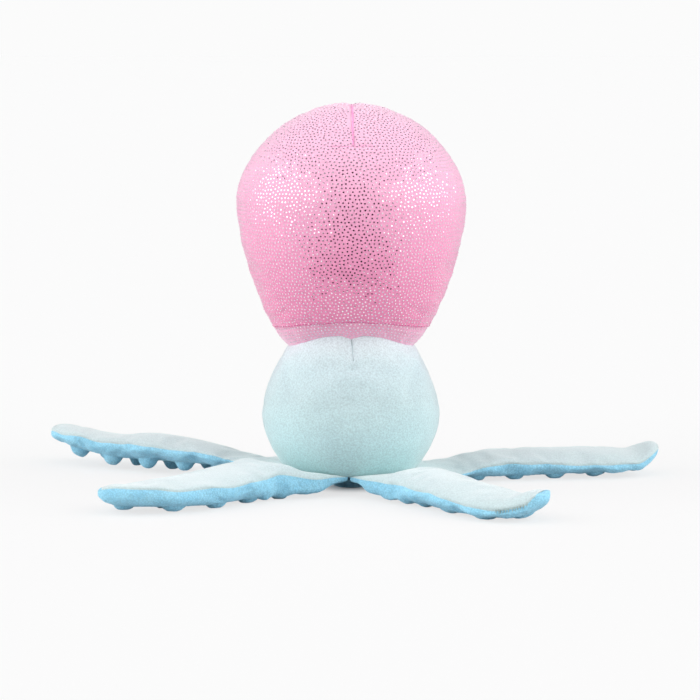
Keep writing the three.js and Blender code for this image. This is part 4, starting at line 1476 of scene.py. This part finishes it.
def make_flag(name, corners, faces, colour):
    """A studio flag that only mirrors see: it gives the foil something dark to reflect."""
    flag = mesh_object(name, np.array(corners, float), faces)
    made, _, shader = blank_material(name)
    set_values(shader, {"Base Color": colour, "Roughness": 1.0, "Specular IOR Level": 0.0})
    flag.data.materials.append(made)
    for ray in ("camera", "diffuse", "shadow", "transmission", "volume_scatter"):
        setattr(flag, "visible_" + ray, False)


def make_flags():
    """A flag on the camera's side, one overhead, and a surround on the floor before the toy."""
    quad = [(0, 1, 2, 3)]
    square = [(-1, -1), (1, -1), (1, 1), (-1, 1)]
    front = [(x * FLAG_HALF_WIDTH, -FLAG_DISTANCE, (y + 1) / 2 * ROOF_HEIGHT) for x, y in square]
    make_flag("front_flag", front, quad, DARK_FLAG)
    roof = [(x * ROOF_HALF_SIZE, y * ROOF_HALF_SIZE, ROOF_HEIGHT) for x, y in square]
    make_flag("top_flag", roof, quad, TOP_FLAG)
    turn = np.radians(np.linspace(*SURROUND_TURNS, SURROUND_STEPS))
    ring = np.stack([np.cos(turn), np.sin(turn), turn * 0], axis=1)
    surround = np.stack([ring * radius + [0, 0, 1] for radius in SURROUND_RADII], axis=1).reshape(-1, 3)
    make_flag("floor_flag", surround, grid_faces(SURROUND_STEPS, 2, False), DARK_FLAG)


def make_world():
    """Even studio light. What the camera, mirrors and glass see of it is white."""
    world = bpy.data.worlds.new("studio")
    world.use_nodes = True
    scene.world = world
    tree = world.node_tree
    tree.nodes.clear()
    light = add_node(tree, "Background", {"Color": WORLD_LIGHT, "Strength": 0.2})
    white = add_node(tree, "Background", {"Color": WORLD_WHITE, "Strength": 1.0})
    chosen = mixed(tree, seen_directly(tree), light, white)
    result = tree.nodes.new("ShaderNodeOutputWorld")
    tree.links.new(chosen.outputs[0], result.inputs["Surface"])


def make_lamp(name, direction, strength, spread, mirrored=True):
    """A soft lamp that shines along a direction, as wide as a large softbox."""
    data = bpy.data.lights.new(name, "SUN")
    data.energy = strength
    data.angle = math.radians(spread)
    lamp = add_object(name, data)
    lamp.rotation_euler = Vector(direction).to_track_quat("-Z", "Y").to_euler()
    lamp.visible_glossy = mirrored


def make_camera():
    """The photograph's camera: a long lens, a little above the toy."""
    data = bpy.data.cameras.new("camera")
    data.sensor_width = 36
    data.lens = 144.2
    camera = add_object("camera", data)
    camera.location = (-0.0007, -1.58, 0.25)
    camera.rotation_euler = (math.radians(90 - 6.22), 0, 0)
    scene.camera = camera


make_floor()
make_flags()
make_world()
make_lamp("left_softbox", (0.93, 0.3, -0.16), strength=1.18, spread=64)
make_lamp("right_softbox", (-0.93, 0.3, -0.16), strength=1.18, spread=64)
make_lamp("left_fill", (0.93, 0.27, -0.28), strength=1.3, spread=70, mirrored=False)
make_lamp("right_fill", (-0.93, 0.27, -0.28), strength=1.3, spread=70, mirrored=False)
make_lamp("top_softbox", (0, 0.35, -0.94), strength=1.15, spread=90)
make_lamp("left_rim", (0.85, -0.4, -0.15), strength=0.95, spread=90, mirrored=False)
make_lamp("right_rim", (-0.85, -0.4, -0.15), strength=0.95, spread=90, mirrored=False)
make_camera()
scene.view_settings.view_transform = "Standard"
